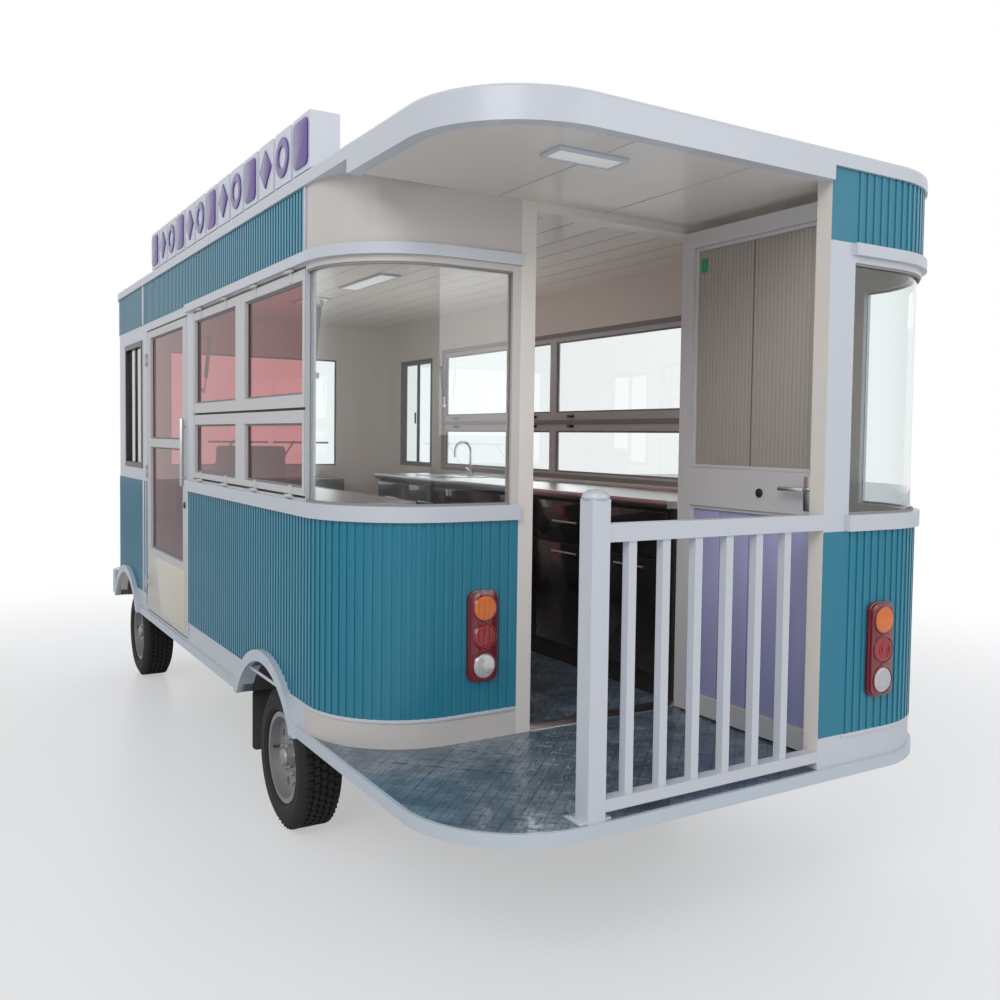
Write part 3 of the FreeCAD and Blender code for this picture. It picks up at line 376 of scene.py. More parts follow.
RUBBER = finish_of("black_rubber", (0.018, 0.018, 0.018), 0.75, dust=0.3, grain=300)
SEAL_GREY = finish_of("grey_seal", (0.30, 0.29, 0.29), 0.7, dust=0.15, grain=300)
TYRE_RUBBER = finish_of("tyre_rubber", (0.006, 0.006, 0.007), 0.78, dust=0.04, grain=240, grain_strength=0.3)
WHEEL_SILVER = finish_of("wheel_silver", (0.33, 0.33, 0.34), 0.42, dust=0.25, metallic=0.5)
STEEL = finish_of("brushed_steel", (0.60, 0.60, 0.61), 0.28, dust=0.1, metallic=1.0, grain=400)
CHROME = finish_of("chrome", (0.85, 0.85, 0.86), 0.08, dust=0.05, metallic=1.0, grain_strength=0.01)
PURPLE = finish_of("purple_face", (0.085, 0.035, 0.26), 0.3, dust=0.05, coat=0.3)
SIGN_WHITE = finish_of("sign_return", (0.72, 0.74, 0.80), 0.4, dust=0.1)
VINYL = finish_of("seat_vinyl", (0.035, 0.035, 0.04), 0.55, dust=0.15, grain=500, grain_strength=0.4)
GREEN = finish_of("green_dot", (0.02, 0.35, 0.12), 0.5)
HARD_BLACK = finish_of("hard_plastic", (0.025, 0.025, 0.027), 0.5, grain=500, grain_strength=0.3)
print("paints:", len(bpy.data.materials))


# %% [markdown]
# Glass lets light through and tints it slightly. The rose tint of the serving side's panes and of the entry
# door's glass is a painted reflection of a red building, and the lamps are coloured plastic.


# %% Glass and lenses
def glass_of(name, color, rough=0.0, ior=1.45):
    """Clear or tinted glass."""
    material = bpy.data.materials.new(name)
    material.use_nodes = True
    tree = material.node_tree
    shader = tree.nodes["Principled BSDF"]
    shader.inputs["Transmission Weight"].default_value = 1.0
    shader.inputs["IOR"].default_value = ior
    film = tuple(c * 0.93 for c in color) + (1,)
    weather = group_node(tree, WEATHER, Color=(*color, 1), Dust=film, Amount=0.5, Roughness=rough)
    put(tree, shader.inputs["Base Color"], weather.outputs["Color"])
    shader.inputs["Roughness"].default_value = rough
    return material


CLEAR_GLASS = glass_of("clear_glass", (0.93, 0.97, 0.97))
# Rose tint: a painted reflection of a red building.
ROSE_REFLECTION_GLASS = glass_of("rose_reflection_glass", (0.50, 0.17, 0.18), ior=1.2)
RED_LENS = finish_of("red_lens", (0.34, 0.006, 0.012), 0.10, dust=0.03, coat=0.8)
AMBER_LENS = finish_of("amber_lens", (0.72, 0.15, 0.005), 0.12, dust=0.03, coat=0.8)
CLEAR_LENS = finish_of("clear_lens", (0.62, 0.60, 0.60), 0.10, dust=0.05, coat=0.8, metallic=0.3)
GLOW = bpy.data.materials.new("ceiling_light")
GLOW.use_nodes = True
diffuser = GLOW.node_tree.nodes["Principled BSDF"]
diffuser.inputs["Emission Color"].default_value = (1, 0.97, 0.92, 1)
diffuser.inputs["Emission Strength"].default_value = 0.18
print("finishes:", len(bpy.data.materials))


# %% [markdown]
# The deck is tread plate: short raised bars in pairs that turn by a quarter from one pair to the next.
# A brick pattern turned both ways gives the bars, and the plate between them is darker. The plate's blue
# tint and pale blue patches are painted sky reflection.


# %% Tread plate
def tread_plate():
    """Plate with raised bars; its blue tint and pale blue patches are painted sky reflection."""
    material = finish_of("tread_plate", (0.20, 0.27, 0.34), 0.30, dust=0.12, metallic=0.35, coat=0.35)
    tree = material.node_tree
    height = 0.0
    for angle in (45, -45):
        turned = tree.nodes.new("ShaderNodeMapping")
        turned.inputs["Rotation"].default_value = (0, 0, math.radians(angle))
        put(tree, turned.inputs["Vector"], object_place(tree))
        bars = tree.nodes.new("ShaderNodeTexBrick")
        for label, value in (("Scale", 7), ("Mortar Size", 0.025), ("Mortar Smooth", 0.3),
                             ("Brick Width", 0.75), ("Row Height", 0.25), ("Vector", turned.outputs[0])):
            put(tree, bars.inputs[label], value)
        height = math_node(tree, "ADD", bars.outputs["Fac"], height)
    # Pale blue noise patches on a dark blue base: painted sky reflection.
    blotch = object_noise(tree, 9, 8)
    sky_reflection_patches = math_node(tree, "MULTIPLY", math_node(tree, "POWER", blotch, 2.2), 1.8)
    base = mix_color(tree, sky_reflection_patches, (0.035, 0.085, 0.135, 1), (0.36, 0.46, 0.54, 1))
    color = mix_color(tree, math_node(tree, "MULTIPLY", height, 0.35), base, (0.05, 0.07, 0.09, 1))
    put(tree, tree.nodes["weathering"].inputs["Color"], color)
    put(tree, tree.nodes["Principled BSDF"].inputs["Normal"], bump_node(tree, height, 0.6))
    return material


TREAD_PLATE = tread_plate()

# %% [markdown]
# ## Finishing the carried pieces
# The walls, frames and running gear already have their true shape, so they only take a finish.

# %% Materials for the carried nodes
CARRIED = {
    "left_side_wall": SIDE_PAINT, "right_side_wall": SIDE_PAINT, "cab_walls": SIDE_PAINT,
    "front_wall": SIDE_PAINT, "rear_right_corner": SIDE_PAINT, "rear_left_corner": CORNER_PAINT,
    "cabin_rear_wall": LINING, "roof": WHITE_PAINT, "ceiling_panels": LINING, "body_ledges": WHITE_PAINT,
    "arch_flares": SHADED_TRIM_WHITE, "deck_edge": SHADED_TRIM_WHITE, "porch_railing": WHITE_PAINT,
    "front_bumper": WHITE_PAINT, "floor_deck": TREAD_PLATE, "chassis_frame": CHASSIS,
    "rear_axle": CHASSIS, "front_axle": CHASSIS, "wheel_housings": CHASSIS, "battery_box": HARD_BLACK,
    "front_left_knuckle": CHASSIS, "front_right_knuckle": CHASSIS, "corner_glass": CLEAR_GLASS,
    "windscreen": CLEAR_GLASS, "cab_window_glass": CLEAR_GLASS, "cab_window_frames": BLACK_PAINT,
    "left_upper_flap": FRAME_PAINT, "left_lower_flap": FRAME_PAINT, "right_upper_flap": FRAME_PAINT,
    "right_lower_flap": FRAME_PAINT, "entry_door": FRAME_PAINT, "rear_door_frame": FRAME_PAINT,
    "hinge_halves": FRAME_PAINT, "left_upper_flap_glass": ROSE_REFLECTION_GLASS, "left_lower_flap_glass": ROSE_REFLECTION_GLASS,
    "right_upper_flap_glass": CLEAR_GLASS, "right_lower_flap_glass": CLEAR_GLASS,
    "entry_door_glass": ROSE_REFLECTION_GLASS, "rear_door_panels": LINING, "left_strut_tubes": BLACK_PAINT,
    "right_strut_tubes": BLACK_PAINT, "left_strut_rods": STEEL, "right_strut_rods": STEEL,
    "tail_lamps": BLACK_PAINT, "headlamps": CHROME, "counters": BLACK_PAINT, "worktops": STEEL,
    "dashboard": HARD_BLACK, "driver_seat": VINYL, "steering_wheel": HARD_BLACK, "roof_sign": SIGN_WHITE,
}
for corner in ("rear_left", "rear_right", "front_left", "front_right"):
    CARRIED[corner + "_tyre"] = TYRE_RUBBER
    CARRIED[corner + "_rim"] = WHEEL_SILVER
for node, material in CARRIED.items():
    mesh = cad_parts[node].data
    mesh.materials.clear()
    mesh.materials.append(material)
missing = sorted(set(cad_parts) - set(CARRIED))
print("nodes without a finish:", missing)

# %% [markdown]
# ## Modelling helpers
# Every new piece starts as a primitive at its size and place. It is shaped in edit mode, then gets its
# bevel, is given a finish and is told which body it rides on.


# %% Helpers
def select_only(obj):
    """Select one object and make it active."""
    bpy.ops.object.select_all(action="DESELECT")
    obj.select_set(True)
    bpy.context.view_layer.objects.active = obj


def apply_modifier(obj, kind, **settings):
    """Add one modifier and apply it."""
    select_only(obj)
    modifier = obj.modifiers.new(kind.lower(), kind)
    for key, value in settings.items():
        setattr(modifier, key, value)
    bpy.ops.object.modifier_apply(modifier=modifier.name)


def done(obj, name, body, material, bevel=0.0, angle=35):
    """Name, bevel, smooth and finish a piece, and let it ride."""
    select_only(obj)
    bpy.ops.object.transform_apply(location=True, rotation=True, scale=True)
    if bevel:
        apply_modifier(obj, "BEVEL", width=bevel, segments=2, limit_method="ANGLE")
    select_only(obj)
    bpy.ops.object.shade_smooth_by_angle(angle=math.radians(angle))
    obj.name = name
    obj.data.name = name
    obj.data.materials.clear()
    obj.data.materials.append(material)
    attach(obj, body)
    return obj


def cube(low, high):
    """A block between two opposite corners."""
    bpy.ops.object.select_all(action="DESELECT")
    low, high = Vector(low), Vector(high)
    bpy.ops.mesh.primitive_cube_add(size=1, location=(low + high) / 2, scale=high - low)
    obj = bpy.context.object
    bpy.ops.object.transform_apply(location=True, rotation=True, scale=True)
    return obj


def bar(radius, start, end, sides=20):
    """A round bar between two points."""
    bpy.ops.object.select_all(action="DESELECT")
    start, end = Vector(start), Vector(end)
    way = end - start
    bpy.ops.mesh.primitive_cylinder_add(vertices=sides, radius=radius, depth=way.length,
                                        location=(start + end) / 2,
                                        rotation=way.to_track_quat("Z", "Y").to_euler())
    obj = bpy.context.object
    bpy.ops.object.transform_apply(location=True, rotation=True, scale=True)
    return obj


def joined(pieces):
    """Join several objects into the first."""
    bpy.ops.object.select_all(action="DESELECT")
    for piece in pieces:
        piece.select_set(True)
    bpy.context.view_layer.objects.active = pieces[0]
    if len(pieces) > 1:
        bpy.ops.object.join()
    return bpy.context.object


def choose(obj, kind, chosen):
    """Enter edit mode with only the faces or edges that pass a test selected."""
    select_only(obj)
    bpy.ops.object.mode_set(mode="EDIT")
    bpy.ops.mesh.select_mode(type=kind)
    bpy.ops.mesh.select_all(action="DESELECT")
    cage = bmesh.from_edit_mesh(obj.data)
    for element in cage.faces if kind == "FACE" else cage.edges:
        element.select = chosen(element)
    bmesh.update_edit_mesh(obj.data)


def tapered(obj, axis, scale):
    """Shrink the face of a block that looks along one axis."""
    choose(obj, "FACE", lambda face: face.normal[axis] > 0.9)
    bpy.ops.transform.resize(value=scale)
    bpy.ops.object.mode_set(mode="OBJECT")
    return obj


def border(low, high, width, axis):
    """A rectangular frame as a thin slab, thin along one axis: an inset face is removed from a block."""
    obj = cube(low, high)
    choose(obj, "FACE", lambda face: abs(face.normal[axis]) > 0.9)
    bpy.ops.mesh.inset(thickness=width, use_individual=True)
    bpy.ops.mesh.bridge_edge_loops()
    bpy.ops.object.mode_set(mode="OBJECT")
    return obj


def rounded_case(low, high, radius, axis):
    """A block whose four edges along one axis are rounded."""
    obj = cube(low, high)
    choose(obj, "EDGE", lambda edge: abs((edge.verts[1].co - edge.verts[0].co).normalized()[axis]) > 0.9)
    bpy.ops.mesh.bevel(offset=radius, segments=6)
    bpy.ops.object.mode_set(mode="OBJECT")
    return obj


def drawn_line(points):
    """A line of edges, left in edit mode: one vertex is extruded from point to point."""
    bpy.ops.object.select_all(action="DESELECT")
    bpy.ops.mesh.primitive_plane_add(size=0.01, location=(0, 0, 0))
    bpy.ops.object.mode_set(mode="EDIT")
    bpy.ops.mesh.select_mode(type="VERT")
    bpy.ops.mesh.select_all(action="SELECT")
    bpy.ops.mesh.merge(type="CENTER")
    bpy.ops.transform.translate(value=points[0])
    for start, end in zip(points, points[1:]):
        step = tuple(b - a for a, b in zip(start, end))
        bpy.ops.mesh.extrude_region_move(TRANSFORM_OT_translate={"value": step})
    bpy.ops.mesh.select_all(action="SELECT")
    return bpy.context.object


def lathe(profile, centre, axis, steps=48):
    """Spin a closed outline of (distance from axis, place along axis) round a line."""
    obj = drawn_line([(radius, 0, along) for radius, along in profile])
    bpy.ops.mesh.spin(steps=steps, angle=2 * math.pi, center=(0, 0, 0), axis=(0, 0, 1))
    bpy.ops.mesh.select_all(action="SELECT")
    bpy.ops.mesh.remove_doubles(threshold=0.0001)
    bpy.ops.mesh.normals_make_consistent(inside=False)
    bpy.ops.object.mode_set(mode="OBJECT")
    turn = Vector(axis).to_track_quat("Z", "Y").to_matrix().to_4x4()
    obj.data.transform(Matrix.Translation(centre) @ turn)
    return obj


def copy_of(source, matrix):
    """A copy with its own mesh, moved by a matrix."""
    twin = source.copy()
    twin.data = source.data.copy()
    bpy.context.collection.objects.link(twin)
    twin.data.transform(matrix)
    return twin


# %% [markdown]
# ## Ribbed cladding
# The teal sheet is pressed into narrow upright ribs. One rib is modelled as a slim square-edged bar and
# copied along the wall's plan, turned round the corners, and cut short over the wheel arches.

# %% One rib and the walls' plan
RIB_PITCH, RIB_WIDTH, RIB_DEPTH = 0.032, 0.014, 0.0035
TRIM_REACH = ARCH_R + 0.03
rib = cube((-RIB_DEPTH, -RIB_WIDTH / 2, 0), (RIB_DEPTH, RIB_WIDTH / 2, 1))


def straight(start, end, heading):
    """Places along a straight wall: x, y and the way the wall faces."""
    start, end = Vector(start), Vector(end)
    count = int((end - start).length / RIB_PITCH)
    return [(*(start.lerp(end, (n + 0.5) / count)), heading) for n in range(count)]


def bend(x, y, first, last):
    """Places round a corner, whose centre and end headings (degrees) are given."""
    count = int(abs(math.radians(last - first)) * CORNER_R / RIB_PITCH)
    found = []
    for n in range(count):
        heading = math.radians(first + (last - first) * (n + 0.5) / count)
        found.append((x + CORNER_R * math.cos(heading), y + CORNER_R * math.sin(heading), heading))
    return found


def ribs(name, places, low, high):
    """Copies of the rib at each place; over an arch a rib starts above the trim."""
    pieces = []
    for x, y, heading in places:
        foot = low
        for axle in AXLE_X:
            if abs(x - axle) < TRIM_REACH and abs(y) > STRAIGHT_HALF:
                foot = max(foot, WHEEL_R + math.sqrt(TRIM_REACH ** 2 - (x - axle) ** 2))
        place = Matrix.Translation((x, y, foot)) @ Matrix.Rotation(heading, 4, "Z")
        pieces.append(copy_of(rib, place @ Matrix.Diagonal((1, 1, high - foot, 1))))
    return done(joined(pieces), name, "van_body", TEAL_PAINT)


LEFT, RIGHT_SIDE, BACK, AHEAD = math.pi / 2, -math.pi / 2, math.pi, 0.0
NOSE_X, TAIL_X = FRONT - 0.012, REAR + 0.012
nose = (bend(NOSE_X - CORNER_R, STRAIGHT_HALF, 90, 0)
        + straight((NOSE_X, STRAIGHT_HALF), (NOSE_X, -STRAIGHT_HALF), AHEAD)
        + bend(NOSE_X - CORNER_R, -STRAIGHT_HALF, 0, -90))
right_run = (straight((NOSE_X - CORNER_R, -FACE), (TAIL_X + CORNER_R, -FACE), RIGHT_SIDE)
             + bend(TAIL_X + CORNER_R, -STRAIGHT_HALF, -90, -180)
             + straight((TAIL_X, -STRAIGHT_HALF), (TAIL_X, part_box("rear_right_corner")[1].y - 0.115), BACK))
corner_run = (straight((PORCH_X, POST_Y), (PORCH_X, STRAIGHT_HALF), BACK)
              + bend(PORCH_X + CORNER_R, STRAIGHT_HALF, 180, 90))
left_rear = straight((PORCH_X + CORNER_R, FACE), (DOOR_LOW.x - 0.02, FACE), LEFT)
left_front = straight((DOOR_HIGH.x + 0.05, FACE), (NOSE_X - CORNER_R, FACE), LEFT)
left_top = straight((station(1.235), FACE), (NOSE_X - CORNER_R, FACE), LEFT)
low_z, high_z = LOWER_BAND
ribs("ribs_lower_left", corner_run + left_rear, low_z, high_z)
ribs("ribs_lower_front", left_front + nose, low_z, high_z)
ribs("ribs_lower_right", right_run, low_z, high_z)
ribs("ribs_upper_left", left_top, *UPPER_BAND)
ribs("ribs_upper_right", nose + right_run, *UPPER_BAND)
bpy.data.objects.remove(rib)
print("ribs are placed")

# %% [markdown]
# ## Strips that follow the body
# Beads and glass seals run along the plan of the van and turn its corners. A single vertex is extruded
# from point to point along the run, the line is extruded upwards into a ribbon, and a solidify modifier
# gives the ribbon its thickness. Flat strips cover the upright joints of the cladding.


# %% Ribbons along the plan
def arc(x, y, radius, first, last, steps=10):
    """Points round a corner between two headings in degrees."""
    turns = [math.radians(first + (last - first) * n / steps) for n in range(steps + 1)]
    return [(x + radius * math.cos(t), y + radius * math.sin(t)) for t in turns]


def ribbon(points, low, high, thickness):
    """A strip that stands on a line of plan points."""
    obj = drawn_line([(x, y, low) for x, y in points])
    bpy.ops.mesh.remove_doubles(threshold=0.0001)
    bpy.ops.mesh.select_all(action="SELECT")
    bpy.ops.mesh.extrude_region_move(TRANSFORM_OT_translate={"value": (0, 0, high - low)})
    bpy.ops.mesh.select_all(action="SELECT")
    bpy.ops.mesh.normals_make_consistent(inside=False)
    bpy.ops.object.mode_set(mode="OBJECT")
    apply_modifier(obj, "SOLIDIFY", thickness=thickness, offset=0)
    return obj


def cabin_corner(proud, end_x, post_y):
    """The run from the doorway's post round the cabin's rear left corner to a point on the left side."""
    turn = arc(PORCH_X + CORNER_R, STRAIGHT_HALF, CORNER_R + proud, 180, 90)
    return [(PORCH_X - proud, post_y)] + turn + [(end_x, FACE + proud)]


def tail_corner(proud, end_x, post_y):
    """The run from the right rear post round the tail corner to a point on the right side."""
    turn = arc(TAIL_X + CORNER_R, -STRAIGHT_HALF, CORNER_R + proud, 180, 270)
    return [(TAIL_X - proud, post_y)] + turn + [(end_x, -FACE - proud)]


BEAD_T = 0.005
bead_runs = (cabin_corner(BEAD_T / 2, DOOR_LOW.x - 0.012, POST_Y),
             tail_corner(BEAD_T / 2, AXLE_X[0] - ARCH_R, RIGHT_POST_Y))
beads = [ribbon(run, SKIRT_TOP - 0.012, SKIRT_TOP, BEAD_T) for run in bead_runs]
done(joined(beads), "skirt_beads", "van_body", WHITE_PAINT, bevel=0.001)
GLASS_INSET = -0.018
SEAL_RUNS = (cabin_corner(GLASS_INSET + 0.010, station(1.222), 0.386),
             tail_corner(GLASS_INSET + 0.010, station(0.418), -0.412))
seals = [ribbon(run, low, high, 0.010)
         for low, high in ((BELT_TOP - 0.001, BELT_TOP + 0.008), (GLASS_TOP - 0.008, GLASS_TOP + 0.001))
         for run in SEAL_RUNS]
done(joined(seals), "corner_glass_seals", "van_body", SEAL_GREY, bevel=0.001)
CAB_JOINT_X = station(4.066)
trims = []
for side in (1, -1):
    for low, high in (LOWER_BAND, UPPER_BAND):
        y0, y1 = sorted((side * FACE, side * (FACE + 0.006)))
        trims.append(cube((CAB_JOINT_X - 0.018, y0, low), (CAB_JOINT_X + 0.018, y1, high)))
for x in (station(2.980) - 0.030, station(3.985) + 0.010):
    trims.append(cube((x, FACE, 0.540), (x + 0.020, FACE + 0.005, 1.279)))
trims.append(cube((station(1.225), FACE, HEAD_TOP), (station(1.240), FACE + 0.006, ROOF_UNDER)))
done(joined(trims), "cladding_cover_strips", "van_body", WHITE_PAINT, bevel=0.0015)
print("strips and seals are placed")

# %% [markdown]
# ## Tread plate relief
# The deck's sheet has raised bars in pairs that cross at right angles. Two tapered bars make one tile,
# two array modifiers repeat it over the deck, and the tiles under walls, counters or wheels are deleted.

# %% Raised bars on the deck
TILE, BAR_L, BAR_W, BAR_H = 0.084, 0.060, 0.015, 0.0022
tile_bars = []
for shift, angle in ((-0.25, 45), (0.25, -45)):
    one = tapered(cube((-BAR_L / 2, -BAR_W / 2, 0), (BAR_L / 2, BAR_W / 2, BAR_H)), 2, (0.80, 0.40, 1))
    shift_by = Matrix.Translation((shift * TILE, shift * TILE, 0))
    one.data.transform(shift_by @ Matrix.Rotation(math.radians(angle), 4, "Z"))
    tile_bars.append(one)
bars = joined(tile_bars)
low_corner = Vector((REAR + TILE, -FACE + TILE, 0))
count_x, count_y = int((FRONT - REAR) / TILE) - 1, int(2 * FACE / TILE) - 1
bars.data.transform(Matrix.Translation((low_corner.x, low_corner.y, DECK_TOP - 0.0003)))
for count, offset in ((count_x, (TILE, 0, 0)), (count_y, (0, TILE, 0))):
    apply_modifier(bars, "ARRAY", count=count, use_relative_offset=False, use_constant_offset=True,
                   constant_offset_displace=offset)


def open_deck(x, y):
    """True where the deck is bare: inside the rim, off the walls, the counters and the wheel boxes."""
    room = 0.040
    if abs(y) > STRAIGHT_HALF and x < REAR + DECK_CORNER_R:
        if math.hypot(x - REAR - DECK_CORNER_R, abs(y) - STRAIGHT_HALF) > DECK_CORNER_R - room:
            return False
    if x < PORCH_X - room:
        return not (y < -0.94 or (x < REAR + 0.11 and y < -0.26) or (y < -0.60 and x > station(1.2)))
    if x < PORCH_X + 0.12:
        return -0.40 < y < 0.25
    if y > STRAIGHT_HALF and x < PORCH_X + CORNER_R:
        return math.hypot(x - PORCH_X - CORNER_R, y - STRAIGHT_HALF) < CORNER_R - 0.04 - room
    if x < station(3.88):
        return -0.38 < y < 0.55
    return abs(y) < 0.56 and x < station(4.85)


def off_deck(face):
    """True for a face whose tile is not on bare deck."""
    spot = face.calc_center_median()
    tile_x = low_corner.x + round((spot.x - low_corner.x) / TILE) * TILE
    tile_y = low_corner.y + round((spot.y - low_corner.y) / TILE) * TILE
    return not open_deck(tile_x, tile_y)


choose(bars, "FACE", off_deck)
bpy.ops.mesh.delete(type="FACE")
bpy.ops.object.mode_set(mode="OBJECT")
done(bars, "deck_tread_bars", "van_body", TREAD_PLATE)
threshold = cube((PORCH_X - 0.006, -0.449, DECK_TOP), (PORCH_X + 0.086, 0.291, DECK_TOP + 0.003))
done(threshold, "doorway_threshold", "van_body", STEEL, bevel=0.0012)
print("tread bars:", len(bars.data.polygons), "faces")

# %% [markdown]
# ## The porch door's infill
# The door is a white frame round two fields of boarding. The upper field is narrow corrugated sheet, a pale
# sheet darkened to grey-beige as painted shade; the lower one is four wide white boards with fine joints,
# tinted lavender as painted coloured light. Each board is a block whose long edges are bevelled, so the
# joints between the boards catch a shadow on both faces of the door.

# %% Boards in the porch door
# Grey-beige here is a pale sheet darkened as painted shade.
SHADED_SHEET = finish_of("beige_sheet_painted_shade", (0.42, 0.375, 0.335), 0.45, dust=0.1, grain=90)
DARK_JOINT = finish_of("dark_joint", (0.12, 0.105, 0.095), 0.7)
# Lavender here is painted coloured light on white boards.
LAVENDER_LIGHT_ON_WHITE = finish_of("white_board_lavender_light", (0.40, 0.39, 0.62), 0.36, dust=0.08, coat=0.15)
field_low, field_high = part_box("rear_door_panels")
MID_LOW, MID_HIGH = 1.320, 1.462


def boarding(name, low, high, count, gap, material, edge):
    """A field of upright boards between two corners, side by side along X."""
    step = (high.x - low.x) / count
    boards = []
    for number in range(count):
        a = low.x + step * number + gap / 2
        boards.append(cube((a, low.y, low.z), (a + step - gap, high.y, high.z)))
    core_y = (low.y + high.y) / 2
    backing = cube((low.x, core_y - 0.006, low.z), (high.x, core_y + 0.006, high.z))
    return done(joined(boards + [backing]), name, "rear_door", material, bevel=edge)


upper = boarding("rear_door_upper_boards", Vector((field_low.x, field_low.y, MID_HIGH)), field_high, 32,
                 0.0008, SHADED_SHEET, 0.0018)
lower = boarding("rear_door_lower_boards", field_low, Vector((field_high.x, field_high.y, MID_LOW)), 4,
                 0.002, LAVENDER_LIGHT_ON_WHITE, 0.004)
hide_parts("rear_door_panels")
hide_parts("rear_door_panels")
edges = []
for low_z, high_z in ((field_low.z, MID_LOW), (MID_HIGH, field_high.z)):
    for y in (field_high.y, field_low.y - 0.010):
        edges.append(border((field_low.x, y, low_z), (field_high.x, y + 0.010, high_z), 0.014, 1))
done(joined(edges), "rear_door_beading", "rear_door", FRAME_PAINT, bevel=0.002)
face_y = field_high.y + 0.020
lever_x, key_x = station(0.146), station(0.374)
plate = cube((lever_x - 0.022, face_y, 1.335), (lever_x + 0.022, face_y + 0.006, 1.450))
lever = bar(0.007, (lever_x, face_y + 0.005, 1.407), (lever_x, face_y + 0.035, 1.407))
grip = cube((lever_x - 0.008, face_y + 0.030, 1.400), (lever_x + 0.105, face_y + 0.042, 1.414))
done(joined([plate, lever, grip]), "rear_door_handle", "rear_door", STEEL, bevel=0.0025)
keyhole = joined([bar(0.016, (key_x, face_y, 1.384), (key_x, face_y + 0.005, 1.384), 32),
                  bar(0.006, (key_x, face_y + 0.004, 1.386), (key_x, face_y + 0.0065, 1.386), 16)])
done(keyhole, "rear_door_keyhole", "rear_door", BLACK_PAINT, bevel=0.001)
tag_x, tag_z = field_high.x - 0.040, field_high.z - 0.070
tag = rounded_case((tag_x - 0.016, field_high.y - 0.001, tag_z - 0.026),
                   (tag_x + 0.016, field_high.y + 0.0015, tag_z + 0.026), 0.004, 1)
done(tag, "rear_door_green_tag", "rear_door", GREEN, bevel=0.0004)
seam_x = (field_low.x + field_high.x) / 2
seam = [cube((seam_x - 0.002, y, MID_HIGH), (seam_x + 0.002, y + 0.002, field_high.z))
        for y in (field_low.y - 0.0012, field_high.y - 0.0008)]
done(joined(seam), "rear_door_sheet_joint", "rear_door", DARK_JOINT)
print("porch door is boarded")

# %% [markdown]
# ## Seals, beads and catches of the glazed panels
# Each pane sits in its frame against a rubber seal, with a slim bead on the outside. A seal is a thin
# block whose middle is cut away by an inset and a bridge. A second frame of rubber stands inside the
# wall's opening and closes the running gap when the panel is shut.

# %% Pane seals
MULLIONS = {"left": 0.138, "right": 0.062}
SEAL_W, SEAL_T, CATCH_Z = 0.009, 0.003, 0.028
STOP_IN, STOP_OUT, STOP_W = 0.9490, 0.9562, 0.024
SILL_Z, LINTEL_Z = 1.340, 2.160


def panes_of(node, mullion):
    """The (low x, high x) of each pane in a glazed panel."""
    low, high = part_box(node)
    middle = (low.x + high.x) / 2
    return ((low.x, middle - mullion / 2), (middle + mullion / 2, high.x))


for side, hand in ((1, "left"), (-1, "right")):
    for level_word in ("upper", "lower"):
        body = hand + "_" + level_word + "_flap"
        low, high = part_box(body + "_glass")
        rings, catches = [], []
        for x0, x1 in panes_of(body + "_glass", MULLIONS[hand]):
            for y in (high.y, low.y - SEAL_T):
                rings.append(border((x0, y, low.z), (x1, y + SEAL_T, high.z), SEAL_W, 1))
            inner = side * (abs(low.y if side > 0 else high.y) - 0.009)
            z = low.z - CATCH_Z if level_word == "upper" else high.z + CATCH_Z - 0.010
            for x in (x0 + 0.16, x1 - 0.16):
                y0, y1 = sorted((inner - side * 0.018, inner))
                catches.append(cube((x - 0.024, y0, z), (x + 0.024, y1, z + 0.014)))
        done(joined(rings), body + "_seals", body, SEAL_GREY, bevel=0.0008)
        done(joined(catches), body + "_catches", body, BLACK_PAINT, bevel=0.003)
    low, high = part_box(hand + "_upper_flap_glass")
    x0, x1 = low.x - 0.035, high.x + 0.035
    y0, y1 = sorted((side * STOP_IN, side * STOP_OUT))
    stop = [border((x0, y0, SILL_Z), (x1, y1, LINTEL_Z), STOP_W, 1),
            cube((x0, y0, 1.6475), (x1, y1, 1.6705))]
    done(joined(stop), hand + "_opening_seal", "van_body", SEAL_GREY, bevel=0.001)

# %% [markdown]
# The entry door is glazed above and below a middle rail, with a cream kick panel at its foot, a long pull
# handle and a round lock. Its parts are small blocks and bars, and all ride on the door.

# %% Entry door fittings
low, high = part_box("entry_door_glass")
rings = []
for z0, z1 in ((0.901, 1.486), (1.533, 2.111)):
    for y in (high.y, low.y - SEAL_T):
        rings.append(border((low.x, y, z0), (high.x, y + SEAL_T, z1), SEAL_W, 1))
done(joined(rings), "entry_door_seals", "entry_door", SEAL_GREY, bevel=0.0008)
CREAM = finish_of("cream_panel", (0.72, 0.64, 0.52), 0.3, dust=0.35, coat=0.3)
kick = cube((station(3.034), FACE - 0.001, 0.556), (station(3.896), FACE + 0.003, 0.862))
done(kick, "entry_door_kick_panel", "entry_door", CREAM, bevel=0.0015)
pull_x = station(3.034)
pull = [bar(0.009, (pull_x, FACE, z), (pull_x, FACE + 0.024, z)) for z in (1.34, 1.60)]
pull.append(bar(0.010, (pull_x, FACE + 0.016, 1.30), (pull_x, FACE + 0.016, 1.64)))
done(joined(pull), "entry_door_pull", "entry_door", STEEL, bevel=0.001)
lock = [bar(0.017, (pull_x, FACE, 1.20), (pull_x, FACE + 0.006, 1.20), 32),
        cube((pull_x - 0.02, FACE - 0.050, 1.15), (pull_x + 0.02, FACE - 0.030, 1.25))]
done(joined(lock), "entry_door_lock", "entry_door", BLACK_PAINT, bevel=0.0015)
stop = border((station(2.980), STOP_IN, 0.520), (station(3.975), STOP_OUT, LINTEL_Z), STOP_W, 1)
done(stop, "entry_door_opening_seal", "van_body", SEAL_GREY, bevel=0.001)
print("glazed panels are sealed")

# %% [markdown]
# ## Lamps
# A tail lamp has a dark red case with an amber turn lamp on top, a red brake lamp in the middle and a
# clear reversing lamp below. Round lenses are spun from a half outline, and the case's upright corners
# are rounded by a bevel on the edges that run front to back.


